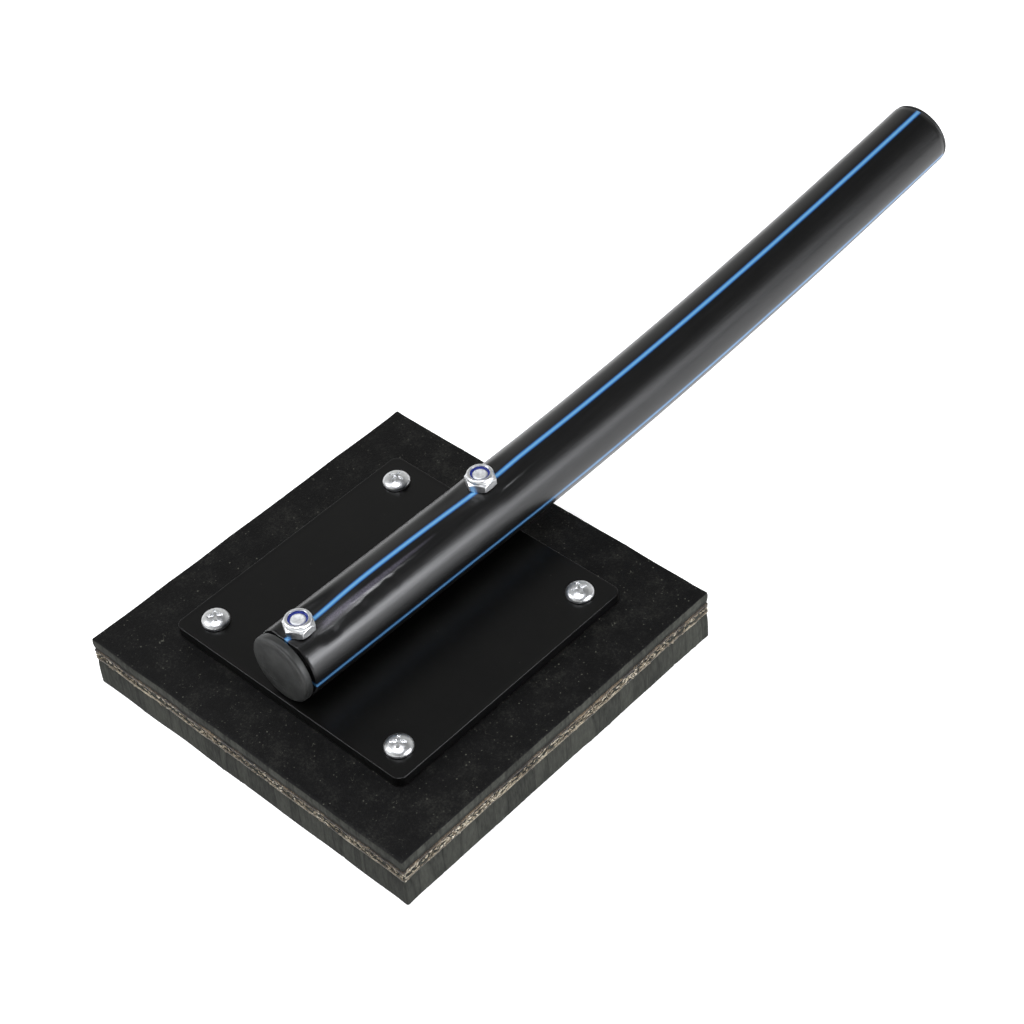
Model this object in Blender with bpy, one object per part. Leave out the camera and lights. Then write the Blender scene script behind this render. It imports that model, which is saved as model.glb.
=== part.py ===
# Rubber pad on a curved pipe handle.
# A square of two-ply rubber sheet carries a square mounting plate, and a length of plastic water
# pipe is bolted flat along the plate's centreline. Nothing moves.
# Frame: origin at the centre of the working face, X across, Y along the handle, Z up. Metres.

import math

import bmesh
import bpy
from mathutils import Matrix, Vector

CONTACT_GAP = 0.0003
CUT_OVERRUN = 0.001

# Rubber pad, from its top face down: cover, ply, skim, ply, and a bottom cover that takes the rest.
PAD_SIDE = 0.228
PAD_THICKNESS = 0.0325
TOP_COVER = 0.0074
PLY = 0.0014
SKIM = 0.0036

# Mounting plate.
PLATE_SIDE = 0.1654
PLATE_THICKNESS = 0.0062
PLATE_CORNER_RADIUS = 0.005
PLATE_EDGE_CHAMFER = 0.0005

# Pan-head screws M8 x 35 in a square pattern, each with a washer and a nut below.
SCREW_PITCH = 0.1344
SCREW_RADIUS = 0.004
SCREW_LENGTH = 0.035
SCREW_LEAD = 0.001
HEAD_RADIUS = 0.0077
HEAD_RIM = 0.0013
HEAD_HEIGHT = 0.0046
RECESS_REACH = 0.0042
RECESS_WIDTH = 0.0017
RECESS_DEPTH = 0.0028
RECESS_TAPER = 0.55
RECESS_FIRST_TURN = math.radians(37)
RECESS_TURN_STEP = math.radians(17)
HOLE_CLEARANCE = 0.0003
COUNTERBORE_RADIUS = 0.012
COUNTERBORE_DEPTH = 0.013
WASHER_RADIUS = 0.0105
WASHER_THICKNESS = 0.0016
SMALL_NUT_FLATS = 0.013
SMALL_NUT_HEIGHT = 0.0065

# Handle bolts M10 with thin hex heads below the plate and nylon-insert nuts on the pipe.
BOLT_RADIUS = 0.005
BOLT_FRONT_Y = -0.0643
BOLT_REAR_Y = 0.0676
BOLT_HEAD_FLATS = 0.016
BOLT_HEAD_HEIGHT = 0.0064
BOLT_HEAD_CHAMFER = 0.0006
BOLT_LEAD = 0.0009
BOLT_END_BELOW_MOUTH = 0.0009
HEAD_RELIEF_RADIUS = 0.0105
LOCK_NUT_FLATS = 0.0157
LOCK_NUT_HEX = 0.0049
LOCK_NUT_HEIGHT = 0.0075
LOCK_NUT_FOOT_CHAMFER = 0.0005
LOCK_NUT_SHOULDER_DROP = 0.0012
LOCK_NUT_SHOULDER_INSET = 0.0002
COLLAR_RADIUS = 0.0073
COLLAR_MOUTH = 0.0055
COLLAR_LIP = 0.0008
COLLAR_ROUNDING = 0.001
GROOVE_RADIUS = 0.0062
RING_HEIGHT = 0.0013
NUT_TURN = math.radians(10)

# Handle pipe, 40 mm outside. It lies straight on the plate and then rises in a slow curve.
PIPE_RADIUS = 0.020
PIPE_WALL = 0.0037
PIPE_FRONT_Y = -0.0742
PIPE_REAR_Y = 0.4395
PIPE_OFFSET_X = 0.00036
PIPE_YAW = 0.0105
BEND_START_Y = 0.0773
BEND_REACH = 0.400
BEND_RISE = 0.0504
BEND_EASE = 0.0116
BEND_DRIFT = 0.0047
PIPE_SEGMENTS = 32
STATION_STEP_CLAMP = 0.0066
STATION_STEP_FREE = 0.022

# The nuts press the pipe's crown flat.
FRONT_DIP = 0.0028
REAR_DIP = 0.0014
DIP_FLAT = 0.0095
DIP_FADE = 0.014

# Push-in end plugs.
PLUG_RADIUS = 0.0197
PLUG_EDGE = 0.0009
PLUG_FLANGE = 0.0044
PLUG_WALL = 0.0022
FRONT_PLUG_STANDOFF = 0.0022
FRONT_SPIGOT = 0.0062
REAR_SPIGOT = 0.020

ROUND_SEGMENTS = 28
SMOOTH_ANGLE = math.radians(35)

plate_bottom = PAD_THICKNESS + CONTACT_GAP
plate_top = plate_bottom + PLATE_THICKNESS
head_seat = plate_top + CONTACT_GAP
pipe_axis_z = plate_top + CONTACT_GAP + PIPE_RADIUS
bore_radius = PIPE_RADIUS - PIPE_WALL
corners = [(sx * SCREW_PITCH / 2, sy * SCREW_PITCH / 2) for sy in (-1, 1) for sx in (-1, 1)]
bolts = [("front", BOLT_FRONT_Y, FRONT_DIP), ("rear", BOLT_REAR_Y, REAR_DIP)]


def clear_scene():
    for old in list(bpy.data.objects):
        bpy.data.objects.remove(old, do_unlink=True)


def make_material(name, colour, metallic, roughness):
    mat = bpy.data.materials.new(name)
    mat.use_nodes = True
    shader = mat.node_tree.nodes["Principled BSDF"]
    shader.inputs["Base Color"].default_value = (*colour, 1.0)
    shader.inputs["Metallic"].default_value = metallic
    shader.inputs["Roughness"].default_value = roughness
    return mat


def make_object(name, bm, mat=None):
    """Turn a bmesh into an object with outward normals and smooth round faces."""
    bmesh.ops.recalc_face_normals(bm, faces=bm.faces)
    mesh = bpy.data.meshes.new(name)
    bm.to_mesh(mesh)
    bm.free()
    mesh.shade_smooth()
    mesh.set_sharp_from_angle(angle=SMOOTH_ANGLE)
    obj = bpy.data.objects.new(name, mesh)
    bpy.context.scene.collection.objects.link(obj)
    if mat:
        mesh.materials.append(mat)
    return obj


def make_cutter(name, bm):
    obj = make_object(name, bm)
    obj.hide_render = True
    obj.display_type = "WIRE"
    return obj


def boolean(obj, cutter, operation="DIFFERENCE"):
    mod = obj.modifiers.new(cutter.name, "BOOLEAN")
    mod.operation = operation
    mod.object = cutter


def add_cylinder(bm, radius, bottom, top, x=0.0, y=0.0, segments=ROUND_SEGMENTS):
    place = Matrix.Translation((x, y, (bottom + top) / 2))
    bmesh.ops.create_cone(bm, cap_ends=True, segments=segments, radius1=radius, radius2=radius,
                          depth=top - bottom, matrix=place)


def cylinders(name, radius, bottom, top, places):
    bm = bmesh.new()
    for x, y in places:
        add_cylinder(bm, radius, bottom, top, x, y)
    return make_cutter(name, bm)


def turned(profile, segments=ROUND_SEGMENTS):
    """Spin a (radius, height) outline about Z; it closes on itself unless it ends on the axis."""
    bm = bmesh.new()
    verts = [bm.verts.new((r, 0.0, z)) for r, z in profile]
    ends_on_axis = profile[0][0] < 1e-9 and profile[-1][0] < 1e-9
    following = verts[1:] if ends_on_axis else verts[1:] + verts[:1]
    edges = [bm.edges.new((a, b)) for a, b in zip(verts, following)]
    bmesh.ops.spin(bm, geom=verts + edges, cent=(0, 0, 0), axis=(0, 0, 1), angle=math.tau,
                   steps=segments, use_merge=True)
    bmesh.ops.remove_doubles(bm, verts=bm.verts, dist=1e-6)
    return bm


def arc(centre_r, centre_z, radius_r, radius_z, start, end, steps):
    """Points of an elliptical arc in the (radius, height) plane, angles in degrees from +r."""
    angles = [math.radians(start + (end - start) * i / steps) for i in range(steps + 1)]
    return [(centre_r + radius_r * math.cos(a), centre_z + radius_z * math.sin(a)) for a in angles]


# Rubber pad

def make_pad(rubber, cloth):
    layers = [("pad_top_cover", TOP_COVER, rubber), ("pad_upper_ply", PLY, cloth),
              ("pad_skim_rubber", SKIM, rubber), ("pad_lower_ply", PLY, cloth),
              ("pad_bottom_cover", None, rubber)]
    screw_holes = cylinders("cut_pad_screw_holes", SCREW_RADIUS + HOLE_CLEARANCE,
                            -CUT_OVERRUN, PAD_THICKNESS + CUT_OVERRUN, corners)
    counterbores = cylinders("cut_pad_counterbores", COUNTERBORE_RADIUS,
                             -CUT_OVERRUN, COUNTERBORE_DEPTH, corners)
    reliefs = cylinders("cut_pad_head_reliefs", HEAD_RELIEF_RADIUS,
                        PAD_THICKNESS - TOP_COVER - CUT_OVERRUN, PAD_THICKNESS + CUT_OVERRUN,
                        [(0.0, y) for _, y, _ in bolts])
    top = PAD_THICKNESS
    for name, thickness, mat in layers:
        bottom = top - thickness if thickness else 0.0
        bm = bmesh.new()
        size = Matrix.Diagonal((PAD_SIDE, PAD_SIDE, top - bottom, 1.0))
        bmesh.ops.create_cube(bm, matrix=Matrix.Translation((0, 0, (top + bottom) / 2)) @ size)
        layer = make_object(name, bm, mat)
        boolean(layer, screw_holes)
        if name == "pad_top_cover":
            boolean(layer, reliefs)
        if name == "pad_bottom_cover":
            boolean(layer, counterbores)
        top = bottom - CONTACT_GAP


# Mounting plate

def make_plate(mat):
    bm = bmesh.new()
    size = Matrix.Diagonal((PLATE_SIDE, PLATE_SIDE, PLATE_THICKNESS, 1.0))
    centre = Matrix.Translation((0, 0, plate_bottom + PLATE_THICKNESS / 2))
    bmesh.ops.create_cube(bm, matrix=centre @ size)
    upright = [e for e in bm.edges if abs(e.verts[0].co.z - e.verts[1].co.z) > PLATE_THICKNESS / 2]
    bmesh.ops.bevel(bm, geom=upright, offset=PLATE_CORNER_RADIUS, segments=6, profile=0.5,
                    affect="EDGES")
    rim = [e for e in bm.edges if e.is_manifold and e.calc_face_angle() > math.radians(80)]
    bmesh.ops.bevel(bm, geom=rim, offset=PLATE_EDGE_CHAMFER, segments=1, affect="EDGES")
    plate = make_object("mounting_plate", bm, mat)
    low, high = plate_bottom - CUT_OVERRUN, plate_top + CUT_OVERRUN
    boolean(plate, cylinders("cut_plate_screw_holes", SCREW_RADIUS + HOLE_CLEARANCE,
                             low, high, corners))
    boolean(plate, cylinders("cut_plate_bolt_holes", BOLT_RADIUS + HOLE_CLEARANCE,
                             low, high, [(0.0, y) for _, y, _ in bolts]))


# Fasteners

def cross_recess(name):
    """A plus-shaped pocket that narrows downwards from the top of a head at the origin."""
    reach, half = RECESS_REACH, RECESS_WIDTH / 2
    arm = [(reach, -half), (reach, half), (half, half)]
    bm = bmesh.new()
    outline = [Matrix.Rotation(math.radians(90 * k), 2) @ Vector(p) for k in range(4) for p in arm]
    face = bm.faces.new([bm.verts.new((p.x, p.y, HEAD_HEIGHT - RECESS_DEPTH)) for p in outline])
    low = list(face.verts)
    lifted = bmesh.ops.extrude_face_region(bm, geom=[face])["geom"]
    high = [v for v in lifted if isinstance(v, bmesh.types.BMVert)]
    bmesh.ops.translate(bm, verts=high, vec=(0, 0, RECESS_DEPTH + CUT_OVERRUN))
    for vert in low:
        vert.co.x *= RECESS_TAPER
        vert.co.y *= RECESS_TAPER
    return make_cutter(name, bm)


def pan_screw_outline():
    end = -SCREW_LENGTH
    dome = arc(0.0, HEAD_RIM, HEAD_RADIUS, HEAD_HEIGHT - HEAD_RIM, 0, 90, 7)
    return [(0.0, end), (SCREW_RADIUS - SCREW_LEAD, end), (SCREW_RADIUS, end + SCREW_LEAD),
            (SCREW_RADIUS, 0.0), (HEAD_RADIUS, 0.0)] + dome


def washer_outline():
    inner = SCREW_RADIUS + HOLE_CLEARANCE
    return [(inner, 0.0), (WASHER_RADIUS, 0.0), (WASHER_RADIUS, WASHER_THICKNESS),
            (inner, WASHER_THICKNESS)]


def small_nut_outline():
    inner = SCREW_RADIUS + HOLE_CLEARANCE
    point = SMALL_NUT_FLATS / math.sqrt(3)
    face = SMALL_NUT_FLATS / 2
    chamfer = (point - face) / 2
    return [(inner, 0.0), (face, 0.0), (point, chamfer), (point, SMALL_NUT_HEIGHT - chamfer),
            (face, SMALL_NUT_HEIGHT), (inner, SMALL_NUT_HEIGHT)]


def lock_nut_outline():
    inner = BOLT_RADIUS + HOLE_CLEARANCE
    point = LOCK_NUT_FLATS / math.sqrt(3)
    foot = LOCK_NUT_FOOT_CHAMFER
    shoulder = LOCK_NUT_FLATS / 2 - LOCK_NUT_SHOULDER_INSET
    groove_high = LOCK_NUT_HEIGHT - COLLAR_LIP
    groove_low = groove_high - RING_HEIGHT - 2 * CONTACT_GAP
    lip = arc(COLLAR_RADIUS - COLLAR_ROUNDING, LOCK_NUT_HEIGHT - COLLAR_ROUNDING,
              COLLAR_ROUNDING, COLLAR_ROUNDING, 0, 90, 3)
    return [(inner, 0.0), (point - foot, 0.0), (point, foot),
            (point, LOCK_NUT_HEX - LOCK_NUT_SHOULDER_DROP),
            (shoulder, LOCK_NUT_HEX), (COLLAR_RADIUS, LOCK_NUT_HEX)] + lip + [
            (COLLAR_MOUTH, LOCK_NUT_HEIGHT), (COLLAR_MOUTH, groove_high),
            (GROOVE_RADIUS, groove_high), (GROOVE_RADIUS, groove_low), (inner, groove_low)]


def ring_outline():
    inner = BOLT_RADIUS + HOLE_CLEARANCE
    outer = GROOVE_RADIUS - CONTACT_GAP
    low = LOCK_NUT_HEIGHT - COLLAR_LIP - RING_HEIGHT - CONTACT_GAP
    return [(inner, low), (outer, low), (outer, low + RING_HEIGHT), (inner, low + RING_HEIGHT)]


def bolt_outline(length):
    """Head hanging below the origin, shank rising from it."""
    point = BOLT_HEAD_FLATS / math.sqrt(3)
    return [(0.0, -BOLT_HEAD_HEIGHT), (BOLT_HEAD_FLATS / 2, -BOLT_HEAD_HEIGHT),
            (point, -BOLT_HEAD_HEIGHT + BOLT_HEAD_CHAMFER), (point, 0.0), (BOLT_RADIUS, 0.0),
            (BOLT_RADIUS, length - BOLT_LEAD), (BOLT_RADIUS - BOLT_LEAD, length), (0.0, length)]


def trim_to_hexagon(obj, flats, bottom, top):
    """Give a turned blank six flats by keeping what lies inside a hexagonal prism."""
    bm = bmesh.new()
    add_cylinder(bm, flats / math.sqrt(3), bottom - CUT_OVERRUN, top + CUT_OVERRUN, segments=6)
    cutter = make_cutter("cut_" + obj.name, bm)
    cutter.location = obj.location
    cutter.rotation_euler = obj.rotation_euler
    boolean(obj, cutter, "INTERSECT")


def make_plate_screws(steel):
    washer_z = COUNTERBORE_DEPTH - CONTACT_GAP - WASHER_THICKNESS
    nut_z = washer_z - CONTACT_GAP - SMALL_NUT_HEIGHT
    for k, (x, y) in enumerate(corners, 1):
        screw = make_object(f"plate_screw_{k}", turned(pan_screw_outline()), steel)
        recess = cross_recess(f"cut_screw_recess_{k}")
        screw.location = (x, y, head_seat)
        recess.location = (x, y, head_seat)
        recess.rotation_euler = (0, 0, RECESS_FIRST_TURN + RECESS_TURN_STEP * (k - 1))
        boolean(screw, recess)
        washer = make_object(f"screw_washer_{k}", turned(washer_outline()), steel)
        washer.location = (x, y, washer_z)
        nut = make_object(f"screw_nut_{k}", turned(small_nut_outline()), steel)
        nut.location = (x, y, nut_z)
        trim_to_hexagon(nut, SMALL_NUT_FLATS, 0.0, SMALL_NUT_HEIGHT)


def make_handle_bolts(steel, nylon):
    head_top = plate_bottom - CONTACT_GAP
    for name, y, dip in bolts:
        nut_z = pipe_axis_z + PIPE_RADIUS - dip + CONTACT_GAP
        length = nut_z + LOCK_NUT_HEIGHT - BOLT_END_BELOW_MOUTH - head_top
        bolt = make_object(f"{name}_handle_bolt", turned(bolt_outline(length)), steel)
        bolt.location = (0.0, y, head_top)
        trim_to_hexagon(bolt, BOLT_HEAD_FLATS, -BOLT_HEAD_HEIGHT, length)
        nut = make_object(f"{name}_lock_nut", turned(lock_nut_outline()), steel)
        ring = make_object(f"{name}_nut_nylon_ring", turned(ring_outline()), nylon)
        for piece in (nut, ring):
            piece.location = (0.0, y, nut_z)
            piece.rotation_euler = (0, 0, NUT_TURN)
        trim_to_hexagon(nut, LOCK_NUT_FLATS, 0.0, LOCK_NUT_HEIGHT)


# Handle pipe

def pipe_centre(y):
    """Point of the pipe's axis: straight on the plate, then a rise and a small drift to +X."""
    s = max(0.0, y - BEND_START_Y) / BEND_REACH
    x = PIPE_OFFSET_X + PIPE_YAW * y + BEND_DRIFT * s ** 2
    return Vector((x, y, pipe_axis_z + BEND_RISE * s ** 2 - BEND_EASE * s ** 3))


def pipe_frame(y):
    """Matrix whose origin is on the axis, with local X to the side, Y along and Z to the crown."""
    step = PIPE_WALL / 8
    along = (pipe_centre(y + step) - pipe_centre(y - step)).normalized()
    side = along.cross(Vector((0, 0, 1))).normalized()
    crown = side.cross(along)
    turn = Matrix((side, along, crown)).transposed().to_4x4()
    return Matrix.Translation(pipe_centre(y)) @ turn


def crown_dip(y):
    """Depth of the flat that each nut presses into the crown: a level seat that fades out."""
    depth = 0.0
    for _, bolt_y, dip in bolts:
        beyond = max(0.0, abs(y - bolt_y) - DIP_FLAT)
        depth += dip * math.exp(-(beyond / DIP_FADE) ** 2)
    return depth


def pipe_section(y, radius):
    """Ring of points round the axis at station y; the upper half sinks with the crown."""
    points = []
    for k in range(PIPE_SEGMENTS):
        angle = math.tau * k / PIPE_SEGMENTS
        side, rise = math.sin(angle), math.cos(angle)
        sink = crown_dip(y) * max(0.0, rise) ** 2
        points.append(pipe_frame(y) @ Vector((radius * side, 0.0, radius * rise - sink)))
    return points


def pipe_stations():
    stations = [PIPE_FRONT_Y]
    clamp_end = BOLT_REAR_Y + DIP_FLAT + 2 * DIP_FADE
    while stations[-1] < PIPE_REAR_Y:
        step = STATION_STEP_CLAMP if stations[-1] < clamp_end else STATION_STEP_FREE
        stations.append(stations[-1] + step)
    return stations[:-1] + [PIPE_REAR_Y]


def make_pipe(mat):
    bm = bmesh.new()
    skins = []
    for radius in (PIPE_RADIUS, bore_radius):
        skins.append([[bm.verts.new(p) for p in pipe_section(y, radius)] for y in pipe_stations()])
    loops = [(skins[0][i], skins[0][i + 1]) for i in range(len(skins[0]) - 1)]
    loops += [(skins[1][i + 1], skins[1][i]) for i in range(len(skins[1]) - 1)]
    loops += [(skins[1][0], skins[0][0]), (skins[0][-1], skins[1][-1])]
    for one, two in loops:
        for k in range(PIPE_SEGMENTS):
            n = (k + 1) % PIPE_SEGMENTS
            bm.faces.new((one[k], one[n], two[n], two[k]))
    pipe = make_object("handle_pipe", bm, mat)
    boolean(pipe, cylinders("cut_pipe_bolt_holes", BOLT_RADIUS + HOLE_CLEARANCE,
                            plate_top - CUT_OVERRUN, pipe_axis_z + PIPE_RADIUS + CUT_OVERRUN,
                            [(0.0, y) for _, y, _ in bolts]))


def plug_outline(spigot_length, spigot_radius):
    """Disc with a hollow spigot, turned about Z, its outer face on top at z = PLUG_FLANGE."""
    inner = spigot_radius - PLUG_WALL
    edge = arc(PLUG_RADIUS - PLUG_EDGE, PLUG_FLANGE - PLUG_EDGE, PLUG_EDGE, PLUG_EDGE, 0, 90, 4)
    return [(0.0, 0.0), (inner, 0.0), (inner, -spigot_length), (spigot_radius, -spigot_length),
            (spigot_radius, 0.0), (PLUG_RADIUS, 0.0)] + edge + [(0.0, PLUG_FLANGE)]


def make_plugs(mat):
    """The front spigot is short and narrow: the front bolt and the pressed crown are close."""
    free = bore_radius - CONTACT_GAP
    pressed = bore_radius - FRONT_DIP - CONTACT_GAP
    front = make_object("front_end_plug", turned(plug_outline(FRONT_SPIGOT, pressed)), mat)
    front.matrix_world = (pipe_frame(PIPE_FRONT_Y - FRONT_PLUG_STANDOFF)
                          @ Matrix.Rotation(math.radians(90), 4, "X"))
    rear = make_object("rear_end_plug", turned(plug_outline(REAR_SPIGOT, free)), mat)
    lift = Matrix.Translation((0, CONTACT_GAP, 0))
    rear.matrix_world = pipe_frame(PIPE_REAR_Y) @ lift @ Matrix.Rotation(math.radians(-90), 4, "X")


def main():
    clear_scene()
    rubber = make_material("pad_rubber", (0.035, 0.035, 0.036), 0.0, 0.85)
    cloth = make_material("carcass_fabric", (0.38, 0.33, 0.26), 0.0, 0.95)
    plate = make_material("plate_plastic", (0.012, 0.012, 0.012), 0.0, 0.45)
    steel = make_material("zinc_steel", (0.70, 0.70, 0.69), 1.0, 0.28)
    nylon = make_material("nylon_blue", (0.02, 0.06, 0.32), 0.0, 0.40)
    pipe = make_material("pipe_plastic", (0.010, 0.010, 0.011), 0.0, 0.22)
    plug = make_material("plug_plastic", (0.045, 0.047, 0.046), 0.0, 0.60)
    make_pad(rubber, cloth)
    make_plate(plate)
    make_plate_screws(steel)
    make_handle_bolts(steel, nylon)
    make_pipe(pipe)
    make_plugs(plug)


main()
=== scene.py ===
# A square two-ply rubber pad under a black plate, with a bent length of striped water pipe as its
# handle. Everything is in metres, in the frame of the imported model.
import math

import bpy
import numpy as np
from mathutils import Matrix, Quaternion, Vector


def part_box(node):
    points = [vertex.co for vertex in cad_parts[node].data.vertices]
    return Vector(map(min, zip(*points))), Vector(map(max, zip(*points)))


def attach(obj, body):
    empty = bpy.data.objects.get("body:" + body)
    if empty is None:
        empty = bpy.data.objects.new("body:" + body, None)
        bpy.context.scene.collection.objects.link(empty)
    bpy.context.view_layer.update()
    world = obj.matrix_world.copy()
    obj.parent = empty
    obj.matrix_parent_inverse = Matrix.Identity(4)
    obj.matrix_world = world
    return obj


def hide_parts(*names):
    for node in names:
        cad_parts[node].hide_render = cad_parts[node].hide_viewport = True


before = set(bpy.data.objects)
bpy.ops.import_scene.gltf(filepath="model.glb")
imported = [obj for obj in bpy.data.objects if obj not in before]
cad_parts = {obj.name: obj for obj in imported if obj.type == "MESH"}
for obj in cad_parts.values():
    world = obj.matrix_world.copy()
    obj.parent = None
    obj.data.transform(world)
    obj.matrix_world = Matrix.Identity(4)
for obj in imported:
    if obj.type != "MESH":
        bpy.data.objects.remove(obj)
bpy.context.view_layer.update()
mm = 0.001


# ---- shared shapes and nodes

def toLinear(hexColour):
    # sRGB hex to linear: c / 12.92 under 0.04045, else ((c + 0.055) / 1.055) ^ 2.4
    c = np.array([int(hexColour[i:i + 2], 16) for i in (0, 2, 4)]) / 255
    return (*np.where(c < 0.04045, c / 12.92, ((c + 0.055) / 1.055) ** 2.4).tolist(), 1.0)


def addNode(tree, kind, settings=None, inputs=None, stops=None):
    # settings go on the node, inputs set or link its sockets, stops are (position, hex) of a ramp
    made = tree.nodes.new("ShaderNode" + kind)
    for key, value in (settings or {}).items():
        setattr(made, key, value)
    for key, value in (inputs or {}).items():
        if isinstance(value, bpy.types.NodeSocket):
            tree.links.new(value, made.inputs[key])
        else:
            made.inputs[key].default_value = value
    for k, (position, colour) in enumerate(stops or []):
        stop = made.color_ramp.elements[k] if k < 2 else made.color_ramp.elements.new(position)
        stop.position = position
        stop.color = toLinear(colour)
    return made


def newMaterial(name, **values):
    # a Principled material with its plain numbers set on the shader's own sockets
    material = bpy.data.materials.new(name)
    material.use_nodes = True
    shader = material.node_tree.nodes["Principled BSDF"]
    for key, value in values.items():
        shader.inputs[key.replace("_", " ")].default_value = value
    return material, material.node_tree, shader


def waves(turns, counts, seed):
    # mean of cosines of whole counts round the loop, random phases: close on itself and about +-1
    rng = np.random.default_rng(seed)
    phases = rng.uniform(0, math.tau, len(counts))
    total = np.zeros_like(turns)
    for count, phase in zip(counts, phases):
        total += np.cos(math.tau * count * turns + phase)
    return total / math.sqrt(len(counts))


def smoothStep(t):
    # 3 t^2 - 2 t^3 between 0 and 1
    t = np.clip(t, 0, 1)
    return t * t * (3 - 2 * t)


def loftMesh(name, rings, ends, attributes=None):
    # rings is n rings of m points. Four-sided faces join ring i to ring i + 1 all the way round.
    # "poles" closes both ends on the mean of the end ring, "loop" joins the last ring to the first.
    n, m = rings.shape[:2]
    grid = np.arange(n * m).reshape(n, m)
    if ends == "loop":
        grid = np.concatenate([grid, grid[:1]])
    a, b = grid[:-1], grid[1:]
    quads = np.stack([a, np.roll(a, -1, 1), np.roll(b, -1, 1), b], -1).reshape(-1, 4)
    verts = rings.reshape(-1, 3)
    # volume by the sum of p0 . (p1 x p2) over the faces; a negative one means the walls face in
    p = verts[quads]
    volume = np.einsum("ij,ij->", p[:, 0], np.cross(p[:, 1], p[:, 2]) + np.cross(p[:, 2], p[:, 3]))
    faces = quads.tolist()
    if ends == "poles":
        verts = np.concatenate([verts, rings[:1].mean(1), rings[-1:].mean(1)])
        first, last = grid[0], grid[-1]
        faces += np.stack([np.full(m, n * m), np.roll(first, -1), first], -1).tolist()
        faces += np.stack([np.full(m, n * m + 1), last, np.roll(last, -1)], -1).tolist()
    if volume < 0:
        faces = [face[::-1] for face in faces]
    mesh = bpy.data.meshes.new(name)
    mesh.from_pydata(verts.tolist(), [], faces)
    for key, values in (attributes or {}).items():
        flat = values.reshape(n * m, -1)
        if ends == "poles":
            flat = np.concatenate([flat, values[:1].reshape(m, -1).mean(0, keepdims=True),
                                   values[-1:].reshape(m, -1).mean(0, keepdims=True)])
        kind, slotName = ("FLOAT", "value") if flat.shape[1] == 1 else ("FLOAT_VECTOR", "vector")
        layer = mesh.attributes.new(key, kind, "POINT")
        layer.data.foreach_set(slotName, flat.astype(np.float32).ravel())
    return mesh


def addPiece(name, mesh, material, nodes, sharpDegrees=35, cutter=None):
    # puts a finished mesh in the scene for the CAD nodes that it stands for
    piece = bpy.data.objects.new(name, mesh)
    bpy.context.scene.collection.objects.link(piece)
    if cutter:
        cutAway(piece, cutter)
    piece.data.materials.clear()
    piece.data.materials.append(material)
    piece.data.shade_smooth()
    piece.data.set_sharp_from_angle(angle=math.radians(sharpDegrees))
    if nodes:
        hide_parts(*nodes)
    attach(piece, "root")


def cutAway(piece, cutters):
    # exact difference with each cutter, kept as a plain mesh
    for cutter in cutters:
        mod = piece.modifiers.new("cut", "BOOLEAN")
        mod.operation = "DIFFERENCE"
        mod.solver = "EXACT"
        mod.object = cutter
    bpy.context.view_layer.update()
    evaluated = piece.evaluated_get(bpy.context.evaluated_depsgraph_get())
    mesh = bpy.data.meshes.new_from_object(evaluated)
    piece.modifiers.clear()
    piece.data = mesh


def holeCutters(radius, places, bottom=-10 * mm, top=60 * mm):
    # round bars, two rings each, that stand where holes go
    found = []
    for x, y in places:
        rings = turnedRings(np.array([[radius, bottom], [radius, top]]), 48, (x, y, 0))
        bar = bpy.data.objects.new("cutter", loftMesh("cutter", rings, "poles"))
        bpy.context.scene.collection.objects.link(bar)
        found.append(bar)
    return found


def dropCutters(cutters):
    # the bars are only tools, so they go when the holes are made
    for bar in cutters:
        bpy.data.objects.remove(bar)


def turnedRings(profile, steps, centre):
    # each (radius, height) of the profile becomes a circle: centre + (r cos a, r sin a, h)
    angle = math.tau * np.arange(steps) / steps
    r, h = profile[:, :1], profile[:, 1:]
    return np.stack([centre[0] + r * np.cos(angle), centre[1] + r * np.sin(angle),
                     centre[2] + h + 0 * angle], -1)


def hexRings(profile, flats, steps, centre, turn):
    # a circle of each radius, held inside a hexagon whose corners are at turn + 60 k degrees:
    # hexagon(a) = flats / 2 / (sum of cos(a - side k)^p)^(1/p), which rounds the corners a little.
    # Angles crowd towards the corners: t - crowd * sin(2 pi t) inside each sixth
    power, crowd = 70, 0.12
    t = np.arange(steps) / steps * 6
    part = t % 1
    angle = turn + (np.floor(t) + part - crowd * np.sin(math.tau * part)) * math.pi / 3
    sides = turn + math.pi / 6 + np.arange(6) * math.pi / 3
    lean = np.clip(np.cos(angle[:, None] - sides), 0, 1) ** power
    hexagon = flats / 2 / lean.sum(1) ** (1 / power)
    r = np.minimum(profile[:, :1], hexagon)
    return np.stack([centre[0] + r * np.cos(angle), centre[1] + r * np.sin(angle),
                     centre[2] + profile[:, 1:] + 0 * angle], -1)


def roundedTurn(centreR, centreH, radius, startDegrees, endDegrees, steps):
    # part of a circle in the (radius, height) plane: centre + radius (cos a, sin a)
    a = np.radians(np.linspace(startDegrees, endDegrees, steps))
    return np.stack([centreR + radius * np.cos(a), centreH + radius * np.sin(a)], -1)


def squarePath(half, radius, runSteps, arcSteps):
    # a straight run up one side and a quarter circle, then the same turned by right angles
    run = np.linspace(-1, 1, runSteps, endpoint=False) * (half - radius)
    turn = np.linspace(0, math.pi / 2, arcSteps, endpoint=False)
    arc = np.stack([np.cos(turn), np.sin(turn)], 1)
    points = np.concatenate([np.stack([np.full(runSteps, half), run], 1),
                             half - radius + radius * arc])
    outward = np.concatenate([np.tile([1.0, 0.0], (runSteps, 1)), arc])
    quarter = np.array([[0.0, 1.0], [-1.0, 0.0]])
    turns = [np.linalg.matrix_power(quarter, k) for k in range(4)]
    return (np.concatenate([points @ q for q in turns]),
            np.concatenate([outward @ q for q in turns]))


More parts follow.
